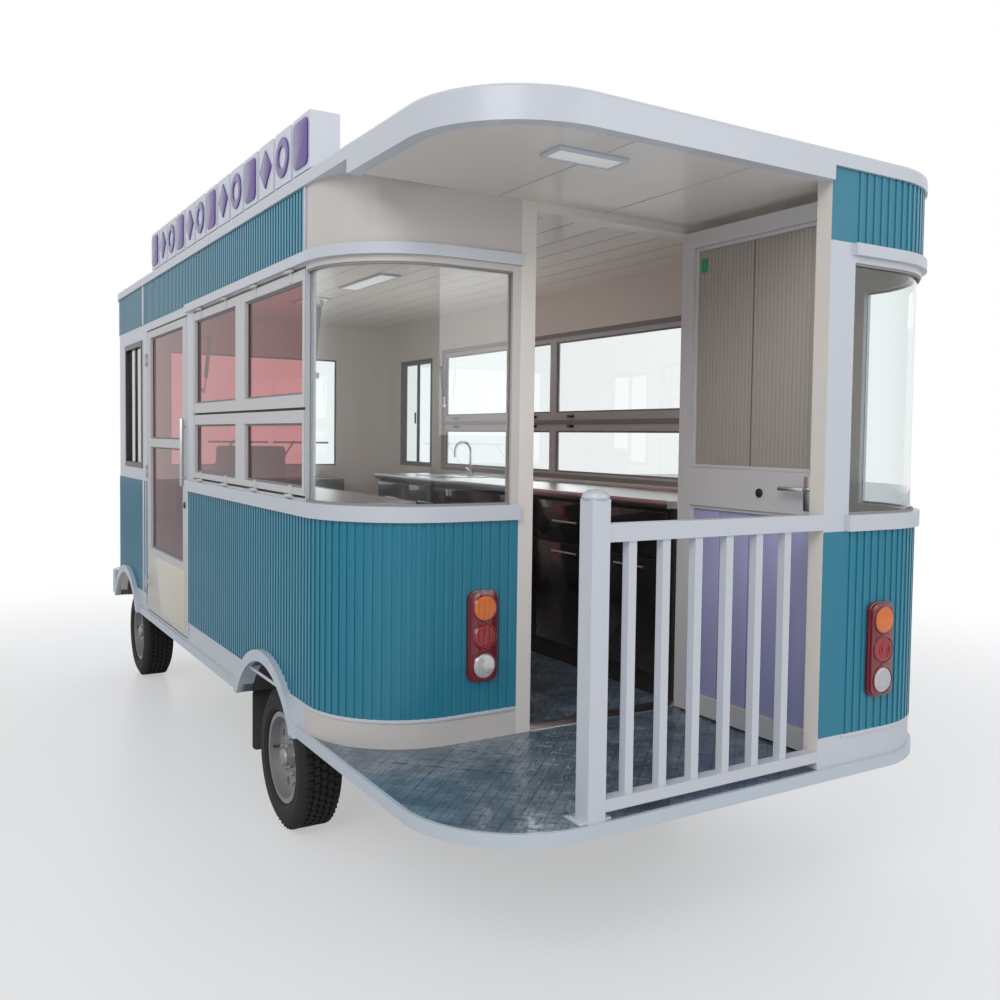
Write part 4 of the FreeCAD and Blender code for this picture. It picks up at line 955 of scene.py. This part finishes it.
# %% Lamp parts
def dome(radius, depth, centre, axis):
    """A shallow round lens."""
    outline = [(0, 0), (radius, 0), (radius, depth * 0.45), (radius * 0.93, depth * 0.8),
               (radius * 0.55, depth * 0.97), (0, depth)]
    return lathe(outline, centre, axis, 40)


def lens_ring(radius, width, depth, centre, axis):
    """A flat ring round a lens."""
    outline = [(radius, 0), (radius + width, 0), (radius + width, depth * 0.7),
               (radius + width * 0.6, depth), (radius, depth), (radius, 0)]
    return lathe(outline, centre, axis, 40)


def reflector_grid(centre, radius, axis_x):
    """Fine upright and level ridges behind a clear lens."""
    ridges = []
    for number in range(-4, 5):
        offset = number * radius / 5
        reach = math.sqrt(radius ** 2 - offset ** 2) * 0.94
        x0, x1 = sorted((centre[0], centre[0] + axis_x * 0.004))
        ridges.append(cube((x0, centre[1] + offset - 0.0008, centre[2] - reach),
                           (x1, centre[1] + offset + 0.0008, centre[2] + reach)))
        ridges.append(cube((x0, centre[1] - reach, centre[2] + offset - 0.0008),
                           (x1, centre[1] + reach, centre[2] + offset + 0.0008)))
    return ridges


CASE_RED = finish_of("lamp_case_red", (0.19, 0.006, 0.014), 0.12, dust=0.03, coat=0.8)
lamps_low, lamps_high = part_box("tail_lamps")
LAMP_Z = (lamps_low.z, lamps_high.z)
REARWARD, FORWARD = (-1, 0, 0), (1, 0, 0)
TURN_Z, BRAKE_Z, REVERSE_Z = LAMP_Z[1] - 0.060, sum(LAMP_Z) / 2, LAMP_Z[0] + 0.058
for hand, y0, y1, face in (("left", 0.439, 0.554, PORCH_X), ("right", -0.626, -0.511, TAIL_X)):
    y = (y0 + y1) / 2
    back = rounded_case((face - 0.014, y0, LAMP_Z[0]), (face, y1, LAMP_Z[1]), 0.030, 0)
    case = done(back, hand + "_tail_lamp_case", "van_body", CASE_RED, bevel=0.002)
    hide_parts("tail_lamps")
    shell = rounded_case((face - 0.024, y0 + 0.004, LAMP_Z[0] + 0.004),
                         (face - 0.012, y1 - 0.004, LAMP_Z[1] - 0.004), 0.029, 0)
    done(shell, hand + "_tail_lamp_shell", "van_body", CASE_RED, bevel=0.004)
    front_x = face - 0.023
    amber = dome(0.044, 0.010, (front_x, y, TURN_Z), REARWARD)
    done(amber, hand + "_turn_lens", "van_body", AMBER_LENS, angle=25)
    brake = [dome(0.042, 0.009, (front_x, y, BRAKE_Z), REARWARD)]
    brake += [lens_ring(radius, 0.002, 0.010, (front_x - 0.0005, y, BRAKE_Z), REARWARD)
              for radius in (0.010, 0.018, 0.026)]
    done(joined(brake), hand + "_brake_lens", "van_body", RED_LENS, angle=25)
    clear = dome(0.042, 0.007, (front_x, y, REVERSE_Z), REARWARD)
    done(clear, hand + "_reverse_lens", "van_body", CLEAR_LENS, angle=25)
    grid = reflector_grid((front_x - 0.006, y, REVERSE_Z), 0.036, -1)
    done(joined(grid), hand + "_reverse_ridges", "van_body", CHROME)
    rings = [lens_ring(0.043, 0.004, 0.006, (front_x, y, z), REARWARD)
             for z in (TURN_Z, BRAKE_Z, REVERSE_Z)]
    screws = [dome(0.005, 0.003, (front_x, y, (z + BRAKE_Z) / 2), REARWARD) for z in (TURN_Z, REVERSE_Z)]
    done(joined(rings + screws), hand + "_lamp_rings", "van_body", CASE_RED, angle=30)

# %% [markdown]
# A head lamp is spun in layers: a polished bowl, a curved clear lens, a chrome ring and a small bulb.
# Beside it stands a domed turn lamp. The wipers are thin arms with a straight blade.

# %% Head lamps, turn lamps and wipers
HEADLAMP_Z = 0.86
nose_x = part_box("headlamps")[0].x
for hand, y in (("left", 0.5), ("right", -0.5)):
    bowl = lathe([(0, 0), (0.092, 0), (0.092, 0.012), (0.078, 0.012), (0.05, 0.006), (0, 0.003)],
                 (nose_x, y, HEADLAMP_Z), FORWARD)
    shown = done(bowl, hand + "_headlamp_bowl", "van_body", CHROME, angle=30)
    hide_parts("headlamps")
    lens = lathe([(0, 0.030), (0.05, 0.029), (0.079, 0.022), (0.082, 0.016), (0.079, 0.016), (0.05, 0.023),
                  (0, 0.024)], (nose_x, y, HEADLAMP_Z), FORWARD)
    done(lens, hand + "_headlamp_lens", "van_body", CLEAR_GLASS, angle=30)
    ring = lens_ring(0.082, 0.013, 0.026, (nose_x, y, HEADLAMP_Z), FORWARD)
    done(ring, hand + "_headlamp_ring", "van_body", CHROME, angle=30)
    bulb = dome(0.018, 0.012, (nose_x + 0.003, y, HEADLAMP_Z), FORWARD)
    done(bulb, hand + "_headlamp_bulb", "van_body", GLOW)
    turn_y = y + math.copysign(0.17, y)
    turn_x = nose_x - (0.004 if abs(turn_y) > STRAIGHT_HALF else 0)
    turn_lamp = dome(0.034, 0.022, (turn_x, turn_y, HEADLAMP_Z), FORWARD)
    done(turn_lamp, hand + "_front_turn_lamp", "van_body", AMBER_LENS, angle=25)
screen_low, screen_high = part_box("windscreen")
wiper_x = screen_high.x + 0.012
for hand, foot, tip in (("left", 0.30, -0.10), ("right", -0.18, -0.52)):
    arm = [bar(0.007, (wiper_x, foot, 1.318), (wiper_x + 0.006, tip * 0.4 + foot * 0.6, 1.52)),
           cube((wiper_x - 0.008, tip - 0.01, 1.50), (wiper_x - 0.002, foot + 0.03, 1.515)),
           bar(0.017, (nose_x - 0.002, foot, 1.305), (nose_x + 0.016, foot, 1.305), 28)]
    done(joined(arm), hand + "_wiper", "van_body", BLACK_PAINT, bevel=0.0015)
seal = border((screen_high.x - 0.001, screen_low.y, screen_low.z),
              (screen_high.x + 0.004, screen_high.y, screen_high.z), 0.012, 0)
done(seal, "windscreen_seal", "van_body", RUBBER, bevel=0.001)
plate = rounded_case((FRONT + 0.0495, -0.24, 0.505), (FRONT + 0.053, 0.24, 0.615), 0.008, 0)
done(plate, "blank_front_plate", "van_body", SHADED_TRIM_WHITE, bevel=0.001)
print("lamps are fitted")

# %% [markdown]
# ## Wheels
# The tyre is spun from its section: bead, bulging side wall, shoulder and tread base. Five rows of
# tread blocks stand on it, with real grooves between them. The pressed steel wheel gets its nuts, a
# hub cap and a valve.

# %% Tyre section and tread block
TYRE_HALF = 0.0870
side_wall = [(0.166, 0.066), (0.183, 0.069), (0.186, 0.078), (0.196, 0.0835), (0.199, 0.0860),
             (0.204, 0.0860), (0.207, 0.0848), (0.226, TYRE_HALF), (0.240, 0.0862), (0.243, 0.0846),
             (0.254, 0.0800), (0.264, 0.0730), (0.2695, 0.0650)]
tyre_section = [(r, -a) for r, a in side_wall] + [(r, a) for r, a in reversed(side_wall)] + [(0.166, -0.066)]
ROWS = ((-0.0550, 0.024), (-0.0275, 0.0225), (0.0, 0.0225), (0.0275, 0.0225), (0.0550, 0.024))
BLOCKS = 56
BLOCK_L, BLOCK_H, BLOCK_SLANT = 0.0276, 0.0112, 0.22


def tread_blocks(centre, side):
    """All blocks of one tyre; the rows are staggered by half a block."""
    source = tapered(cube((-BLOCK_L / 2, -0.5, 0), (BLOCK_L / 2, 0.5, BLOCK_H)), 2, (0.93, 0.92, 1))
    rows = []
    for number, (across, width) in enumerate(ROWS):
        for block in range(BLOCKS):
            angle = 2 * math.pi * (block + 0.5 * (number % 2)) / BLOCKS
            lifted = Matrix.Translation((0, across, WHEEL_R - BLOCK_H - 0.0003))
            slanted = Matrix.Rotation(side * BLOCK_SLANT, 4, "Z") @ Matrix.Diagonal((1, width, 1, 1))
            around = Matrix.Translation(centre) @ Matrix.Rotation(angle, 4, "Y")
            rows.append(copy_of(source, around @ lifted @ slanted))
    bpy.data.objects.remove(source)
    return rows


# %% Four wheels
for end in ("rear", "front"):
    for side, hand in ((1, "left"), (-1, "right")):
        name, body = end + "_" + hand, end + "_" + hand + "_wheel"
        low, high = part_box(name + "_tyre")
        centre = (low + high) / 2
        tyre = lathe(tyre_section, centre, (0, side, 0), 96)
        treaded = joined([tyre] + tread_blocks(centre, side))
        tyre = done(treaded, name + "_treaded_tyre", body, TYRE_RUBBER, angle=32)
        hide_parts(name + "_tyre")
        out = Vector((0, side, 0))
        nuts = []
        for number in range(5):
            angle = 2 * math.pi * (number + 0.25) / 5
            spot = centre + Vector((0.074 * math.cos(angle), side * 0.036, 0.074 * math.sin(angle)))
            nuts.append(bar(0.0105, spot, spot + out * 0.015, 6))
            nuts.append(bar(0.0055, spot + out * 0.014, spot + out * 0.021, 12))
        done(joined(nuts), name + "_wheel_nuts", body, STEEL, bevel=0.001)
        cap = lathe([(0, 0.050), (0.036, 0.050), (0.036, 0.066), (0.031, 0.074), (0.018, 0.078), (0, 0.079)],
                    centre, out, 36)
        done(cap, name + "_hub_cap", body, WHEEL_SILVER, angle=30)
        foot = centre + Vector((0.150, side * 0.034, 0))
        valve = [bar(0.004, foot, foot + out * 0.022, 12),
                 bar(0.0055, foot + out * 0.018, foot + out * 0.028, 12)]
        done(joined(valve), name + "_valve", body, RUBBER, bevel=0.0008)
print("wheels are dressed")

# %% [markdown]
# ## Roof sign
# The sign is a row of blank white boxes on a rail. Each carries a raised purple shape on both faces:
# plain rounded panels, rings and lozenges in turn, which spell nothing.

# %% Purple faces
sign_low, sign_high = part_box("roof_sign")
SIGN_LENGTH, COUNT = 2.670, 13
PITCH = SIGN_LENGTH / COUNT
mid_z = (ROOF_TOP + 0.014 + sign_high.z) / 2
for side_word, y, out in (("outer", sign_high.y, 1), ("inner", sign_low.y, -1)):
    faces = []
    for number in range(COUNT):
        x = station(1.2) + PITCH * (number + 0.5)
        y0, y1 = sorted((y, y + out * 0.006))
        wide, tall = PITCH / 2 - 0.030, 0.082
        kind = number % 3
        if kind == 0:
            faces.append(rounded_case((x - wide, y0, mid_z - tall), (x + wide, y1, mid_z + tall), 0.026, 1))
        elif kind == 1:
            outline = [(0.040, 0), (0.074, 0), (0.074, 0.004), (0.072, 0.006), (0.042, 0.006),
                       (0.040, 0.004), (0.040, 0)]
            faces.append(lathe(outline, (x, y, mid_z), (0, out, 0), 40))
        else:
            plate = cube((x - 0.052, y0, mid_z - 0.052), (x + 0.052, y1, mid_z + 0.052))
            turn = Matrix.Translation((x, 0, mid_z)) @ Matrix.Rotation(math.radians(45), 4, "Y")
            plate.data.transform(turn @ Matrix.Translation((-x, 0, -mid_z)))
            faces.append(plate)
    done(joined(faces), "sign_shapes_" + side_word, "van_body", PURPLE, bevel=0.0018)
print("sign is faced")

# %% [markdown]
# ## Ceiling and roof
# The ceiling is lined with pale boards whose joints run along the van; over the porch the boards are
# wider. Flat lamps are set into it. The roof's sheets meet in low standing seams, beside a vent hatch.

# %% Ceiling joints and lamps
LINE_W, LINE_T, LINE_PITCH = 0.003, 0.0012, 0.150
joints = []
for number in range(-5, 6):
    y = number * LINE_PITCH
    if y > -0.28 and number % 3 == 0:
        start = REAR + 0.06
        if abs(y) >= STRAIGHT_HALF:
            start = REAR + DECK_CORNER_R - math.sqrt(0.33 ** 2 - (abs(y) - STRAIGHT_HALF) ** 2)
        joints.append(cube((start, y - LINE_W / 2, CEILING - LINE_T), (PORCH_X, y + LINE_W / 2, CEILING)))
    start = PORCH_X + 0.085 if y < STRAIGHT_HALF else PORCH_X + 0.14
    joints.append(cube((start, y - LINE_W / 2, CEILING - LINE_T), (FRONT - 0.20, y + LINE_W / 2, CEILING)))
GROOVE = finish_of("ceiling_joint", (0.52, 0.48, 0.44), 0.5)
done(joined(joints), "ceiling_board_joints", "van_body", GROOVE, bevel=0.0004)
spots = [(station(0.209), station(0.316), 0.358, 0.606), (station(1.45), station(2.05), 0.02, 0.14),
         (station(2.55), station(3.15), 0.02, 0.14), (station(3.6), station(3.9), 0.02, 0.14)]
frames, glows = [], []
for x0, x1, y0, y1 in spots:
    frames.append(border((x0, y0, CEILING - 0.012), (x1, y1, CEILING - 0.0005), 0.012, 2))
    glows.append(rounded_case((x0 + 0.010, y0 + 0.010, CEILING - 0.009),
                              (x1 - 0.010, y1 - 0.010, CEILING - 0.001), 0.006, 2))
done(joined(frames), "ceiling_lamp_frames", "van_body", SHADED_TRIM_WHITE, bevel=0.0015)
done(joined(glows), "ceiling_lamp_panels", "van_body", GLOW, bevel=0.001)
seams = []
for number in range(1, 5):
    x = REAR + number * (FRONT - REAR) / 5
    seams.append(cube((x - 0.009, -0.90, ROOF_TOP - 0.001), (x + 0.009, 0.84, ROOF_TOP + 0.007)))
done(joined(seams), "roof_seams", "van_body", WHITE_PAINT, bevel=0.003)
hatch_x0, hatch_x1, hatch_y0, hatch_y1 = station(2.25), station(2.75), -0.62, -0.12
hatch = [rounded_case((hatch_x0, hatch_y0, ROOF_TOP - 0.001),
                      (hatch_x1, hatch_y1, ROOF_TOP + 0.030), 0.05, 2),
         rounded_case((hatch_x0 + 0.03, hatch_y0 + 0.03, ROOF_TOP + 0.029),
                      (hatch_x1 - 0.03, hatch_y1 - 0.03, ROOF_TOP + 0.052), 0.045, 2)]
done(joined(hatch), "roof_vent_hatch", "van_body", SHADED_TRIM_WHITE, bevel=0.006)
print("ceiling and roof are lined")

# %% [markdown]
# ## Counters
# Cupboards run below the steel worktops: black doors in a row, each with a bar handle, over a recessed
# plinth. The worktop has a splash-back and a sink with a swan-neck tap.


# %% Doors and handles
GLOSS_BLACK = finish_of("gloss_black_door", (0.012, 0.011, 0.012), 0.12, dust=0.25, coat=0.6)
TOP_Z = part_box("worktops")[1].z


def cupboard_row(name, x0, x1, y, out, count):
    """A row of cupboard doors on a counter's front face."""
    step = (x1 - x0) / count
    doors, grips = [], []
    y0, y1 = sorted((y, y + out * 0.016))
    stalk_y, grip_y = y + out * 0.014, y + out * 0.024
    for number in range(count):
        a = x0 + step * number
        for low_z, high_z, z in ((0.60, 1.075, 1.035), (1.083, 1.272, 1.178)):
            doors.append(rounded_case((a + 0.004, y0, low_z), (a + step - 0.004, y1, high_z), 0.004, 1))
            grips.append(bar(0.005, (a + step * 0.3, grip_y, z), (a + step * 0.7, grip_y, z), 12))
            for at in (0.34, 0.66):
                grips.append(bar(0.004, (a + step * at, stalk_y, z), (a + step * at, grip_y, z), 10))
    done(joined(doors), name + "_doors", "van_body", GLOSS_BLACK, bevel=0.0015)
    done(joined(grips), name + "_handles", "van_body", STEEL, bevel=0.0008)


cupboard_row("right_counter", PORCH_X + 0.10, station(3.84), -0.430, 1, 6)
cupboard_row("left_counter", station(1.24), station(2.885), 0.590, -1, 4)
edge = [cube((PORCH_X + 0.081, -0.405, TOP_Z - 0.030), (station(3.86), -0.397, TOP_Z + 0.003)),
        cube((station(1.226), 0.557, TOP_Z - 0.030), (station(2.91), 0.565, TOP_Z + 0.003)),
        cube((PORCH_X + 0.081, -0.947, TOP_Z), (station(3.86), -0.940, TOP_Z + 0.012))]
done(joined(edge), "worktop_edges", "van_body", STEEL, bevel=0.002)
print("cupboards are hung")

# %% Sink and tap
SINK_X, SINK_Y = station(3.30), -0.68
rim = border((SINK_X - 0.20, SINK_Y - 0.15, TOP_Z - 0.001),
             (SINK_X + 0.20, SINK_Y + 0.15, TOP_Z + 0.006), 0.022, 2)
drain = lathe([(0, 0), (0.035, 0), (0.035, 0.003), (0.026, 0.0045), (0.02, 0.002), (0, 0.002)],
              (SINK_X, SINK_Y, TOP_Z), (0, 0, 1), 32)
done(joined([rim, drain]), "sink_rim_and_drain", "van_body", STEEL, bevel=0.0015)
TAP_Y, NECK_H, NECK_R, NECK_STEPS = SINK_Y - 0.13, 0.16, 0.055, 10
turns = [math.pi * n / NECK_STEPS for n in range(1, NECK_STEPS + 1)]
neck = [(NECK_R - NECK_R * math.cos(turn), NECK_H + NECK_R * math.sin(turn)) for turn in turns]
spout = [(SINK_X, TAP_Y + y, TOP_Z + z) for y, z in [(0, 0), (0, NECK_H)] + neck + [(2 * NECK_R, 0.12)]]
tap = [bar(0.008, start, end, 16) for start, end in zip(spout, spout[1:])]
tap.append(bar(0.018, (SINK_X, TAP_Y, TOP_Z), (SINK_X, TAP_Y, TOP_Z + 0.035), 24))
tap.append(bar(0.005, (SINK_X, TAP_Y, TOP_Z + 0.03), (SINK_X + 0.06, TAP_Y, TOP_Z + 0.05), 12))
done(joined(tap), "sink_tap", "van_body", CHROME, angle=50)
print("counters are fitted")

# %% [markdown]
# ## Driver's place
# The seat's cushion and back are padded forms: a block is subdivided, pulled in at its edges and crowned
# in the middle, then a subdivision surface rounds it. Sewn channels run across each pad's face.


# %% Padded seat
def pad(name, low, high, crown, axis, channels):
    """A crowned pad with sewn channels across its face; the crown points along one axis."""
    low, high = Vector(low), Vector(high)
    obj = cube(low, high)
    bpy.ops.object.mode_set(mode="EDIT")
    bpy.ops.mesh.select_all(action="SELECT")
    bpy.ops.mesh.subdivide(number_cuts=11)
    bpy.ops.object.mode_set(mode="OBJECT")
    middle, reach = (low + high) / 2, (high - low) / 2
    cross = [n for n in range(3) if n != axis]
    for vertex in obj.data.vertices:
        way = [(vertex.co[n] - middle[n]) / reach[n] for n in range(3)]
        flat = (1 - way[cross[0]] ** 2) * (1 - way[cross[1]] ** 2)
        seam = max(0.0, math.cos(way[cross[0]] * math.pi * channels)) ** 8 * 0.35
        vertex.co[axis] += way[axis] * (crown * flat * (1 - seam) - crown * 0.55)
        for n in cross:
            vertex.co[n] -= math.copysign(min(abs(way[n]), 1) ** 3, way[n]) * 0.016 * abs(way[axis])
    apply_modifier(obj, "SUBSURF", levels=2, render_levels=2)
    return done(obj, name, "van_body", VINYL, angle=60)


seat_x, seat_y = station(4.0), 0.380
cushion = pad("seat_cushion", (seat_x - 0.005, seat_y - 0.225, 0.800),
              (seat_x + 0.455, seat_y + 0.225, 0.930), 0.022, 2, 3)
backrest = pad("seat_backrest", (seat_x - 0.115, seat_y - 0.215, 0.905),
               (seat_x - 0.008, seat_y + 0.215, 1.495), 0.020, 0, 3)
base = [rounded_case((seat_x + 0.01, seat_y - 0.17, DECK_TOP),
                     (seat_x + 0.41, seat_y + 0.17, 0.775), 0.03, 2),
        cube((seat_x - 0.012, seat_y - 0.19, 0.772), (seat_x + 0.43, seat_y + 0.19, 0.803)),
        cube((seat_x - 0.060, seat_y - 0.16, 0.80), (seat_x - 0.030, seat_y - 0.13, 1.10)),
        cube((seat_x - 0.060, seat_y + 0.13, 0.80), (seat_x - 0.030, seat_y + 0.16, 1.10))]
frame_piece = done(joined(base), "seat_base", "van_body", HARD_BLACK, bevel=0.004)
for piece in (cushion, backrest, frame_piece):
    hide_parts("driver_seat")
print("seat pads:", len(cushion.data.polygons) + len(backrest.data.polygons), "faces")

# %% [markdown]
# The dashboard is a plain moulding with an instrument hood, a middle panel, slotted air vents and two
# blank dials. They are rounded blocks, thin bars and spun rings set on its rear face.

# %% Dashboard fittings
DASH_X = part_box("dashboard")[0].x
fittings = [rounded_case((DASH_X - 0.004, 0.24, 1.11), (DASH_X + 0.10, 0.52, 1.268), 0.03, 0),
            rounded_case((DASH_X - 0.006, -0.12, 1.04), (DASH_X + 0.02, 0.14, 1.20), 0.01, 0)]
for y in (-0.40, -0.25, 0.175):
    for number in range(4):
        z = 1.13 + 0.02 * number
        fittings.append(cube((DASH_X - 0.005, y - 0.045, z), (DASH_X + 0.01, y + 0.045, z + 0.008)))
done(joined(fittings), "dashboard_fittings", "van_body", HARD_BLACK, bevel=0.003)
dials = [lathe([(0, 0), (0.045, 0), (0.045, 0.004), (0.041, 0.006), (0.041, 0.002), (0, 0.002)],
               (DASH_X - 0.003, y, 1.185), REARWARD, 40) for y in (0.32, 0.44)]
done(joined(dials), "blank_dials", "van_body", CHROME, angle=30)
print("driver's place is fitted")

# %% [markdown]
# ## Porch and outside fittings
# The railing's free post gets a rounded cap and a bolted foot, the cab windows a sliding middle bar with
# a catch, and a rubber flap hangs just ahead of each rear wheel.

# %% Railing caps and feet
post_x, post_y = station(0.040), 0.584
cap = lathe([(0, 0), (0.036, 0), (0.040, 0.006), (0.036, 0.016), (0.022, 0.026), (0, 0.030)],
            (post_x, post_y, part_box("porch_railing")[1].z - 0.002), (0, 0, 1), 36)
foot = cube((post_x - 0.026, post_y - 0.055, DECK_TOP), (post_x + 0.050, post_y + 0.055, DECK_TOP + 0.006))
done(joined([cap, foot]), "railing_cap_and_foot", "van_body", WHITE_PAINT, bevel=0.0015)
bolts = [dome(0.008, 0.007, (post_x + 0.030, post_y + reach, DECK_TOP + 0.006), (0, 0, 1))
         for reach in (-0.043, 0.043)]
done(joined(bolts), "railing_bolts", "van_body", STEEL, angle=30)
print("railing is capped")

# %% Cab window bars and mud flaps
window_low, window_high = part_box("cab_window_glass")
bars_made = []
for side in (1, -1):
    y0, y1 = sorted((side * (FACE - 0.026), side * (FACE - 0.008)))
    middle = (window_low.x + window_high.x) / 2
    bars_made.append(cube((middle - 0.014, y0, window_low.z), (middle + 0.014, y1, window_high.z)))
    y0, y1 = sorted((side * (FACE - 0.030), side * (FACE - 0.022)))
    bars_made.append(cube((middle + 0.030, y0, 1.66), (middle + 0.048, y1, 1.74)))
done(joined(bars_made), "cab_window_bars", "van_body", BLACK_PAINT, bevel=0.002)
mats = []
mat_x = AXLE_X[0] + 0.385
for side in (1, -1):
    y0, y1 = sorted((side * 0.70, side * 0.93))
    mats.append(rounded_case((mat_x, y0, 0.20), (mat_x + 0.007, y1, DECK_TOP - 0.045), 0.02, 0))
done(joined(mats), "rear_mud_flaps", "van_body", RUBBER, bevel=0.001)
print("outside fittings are placed")
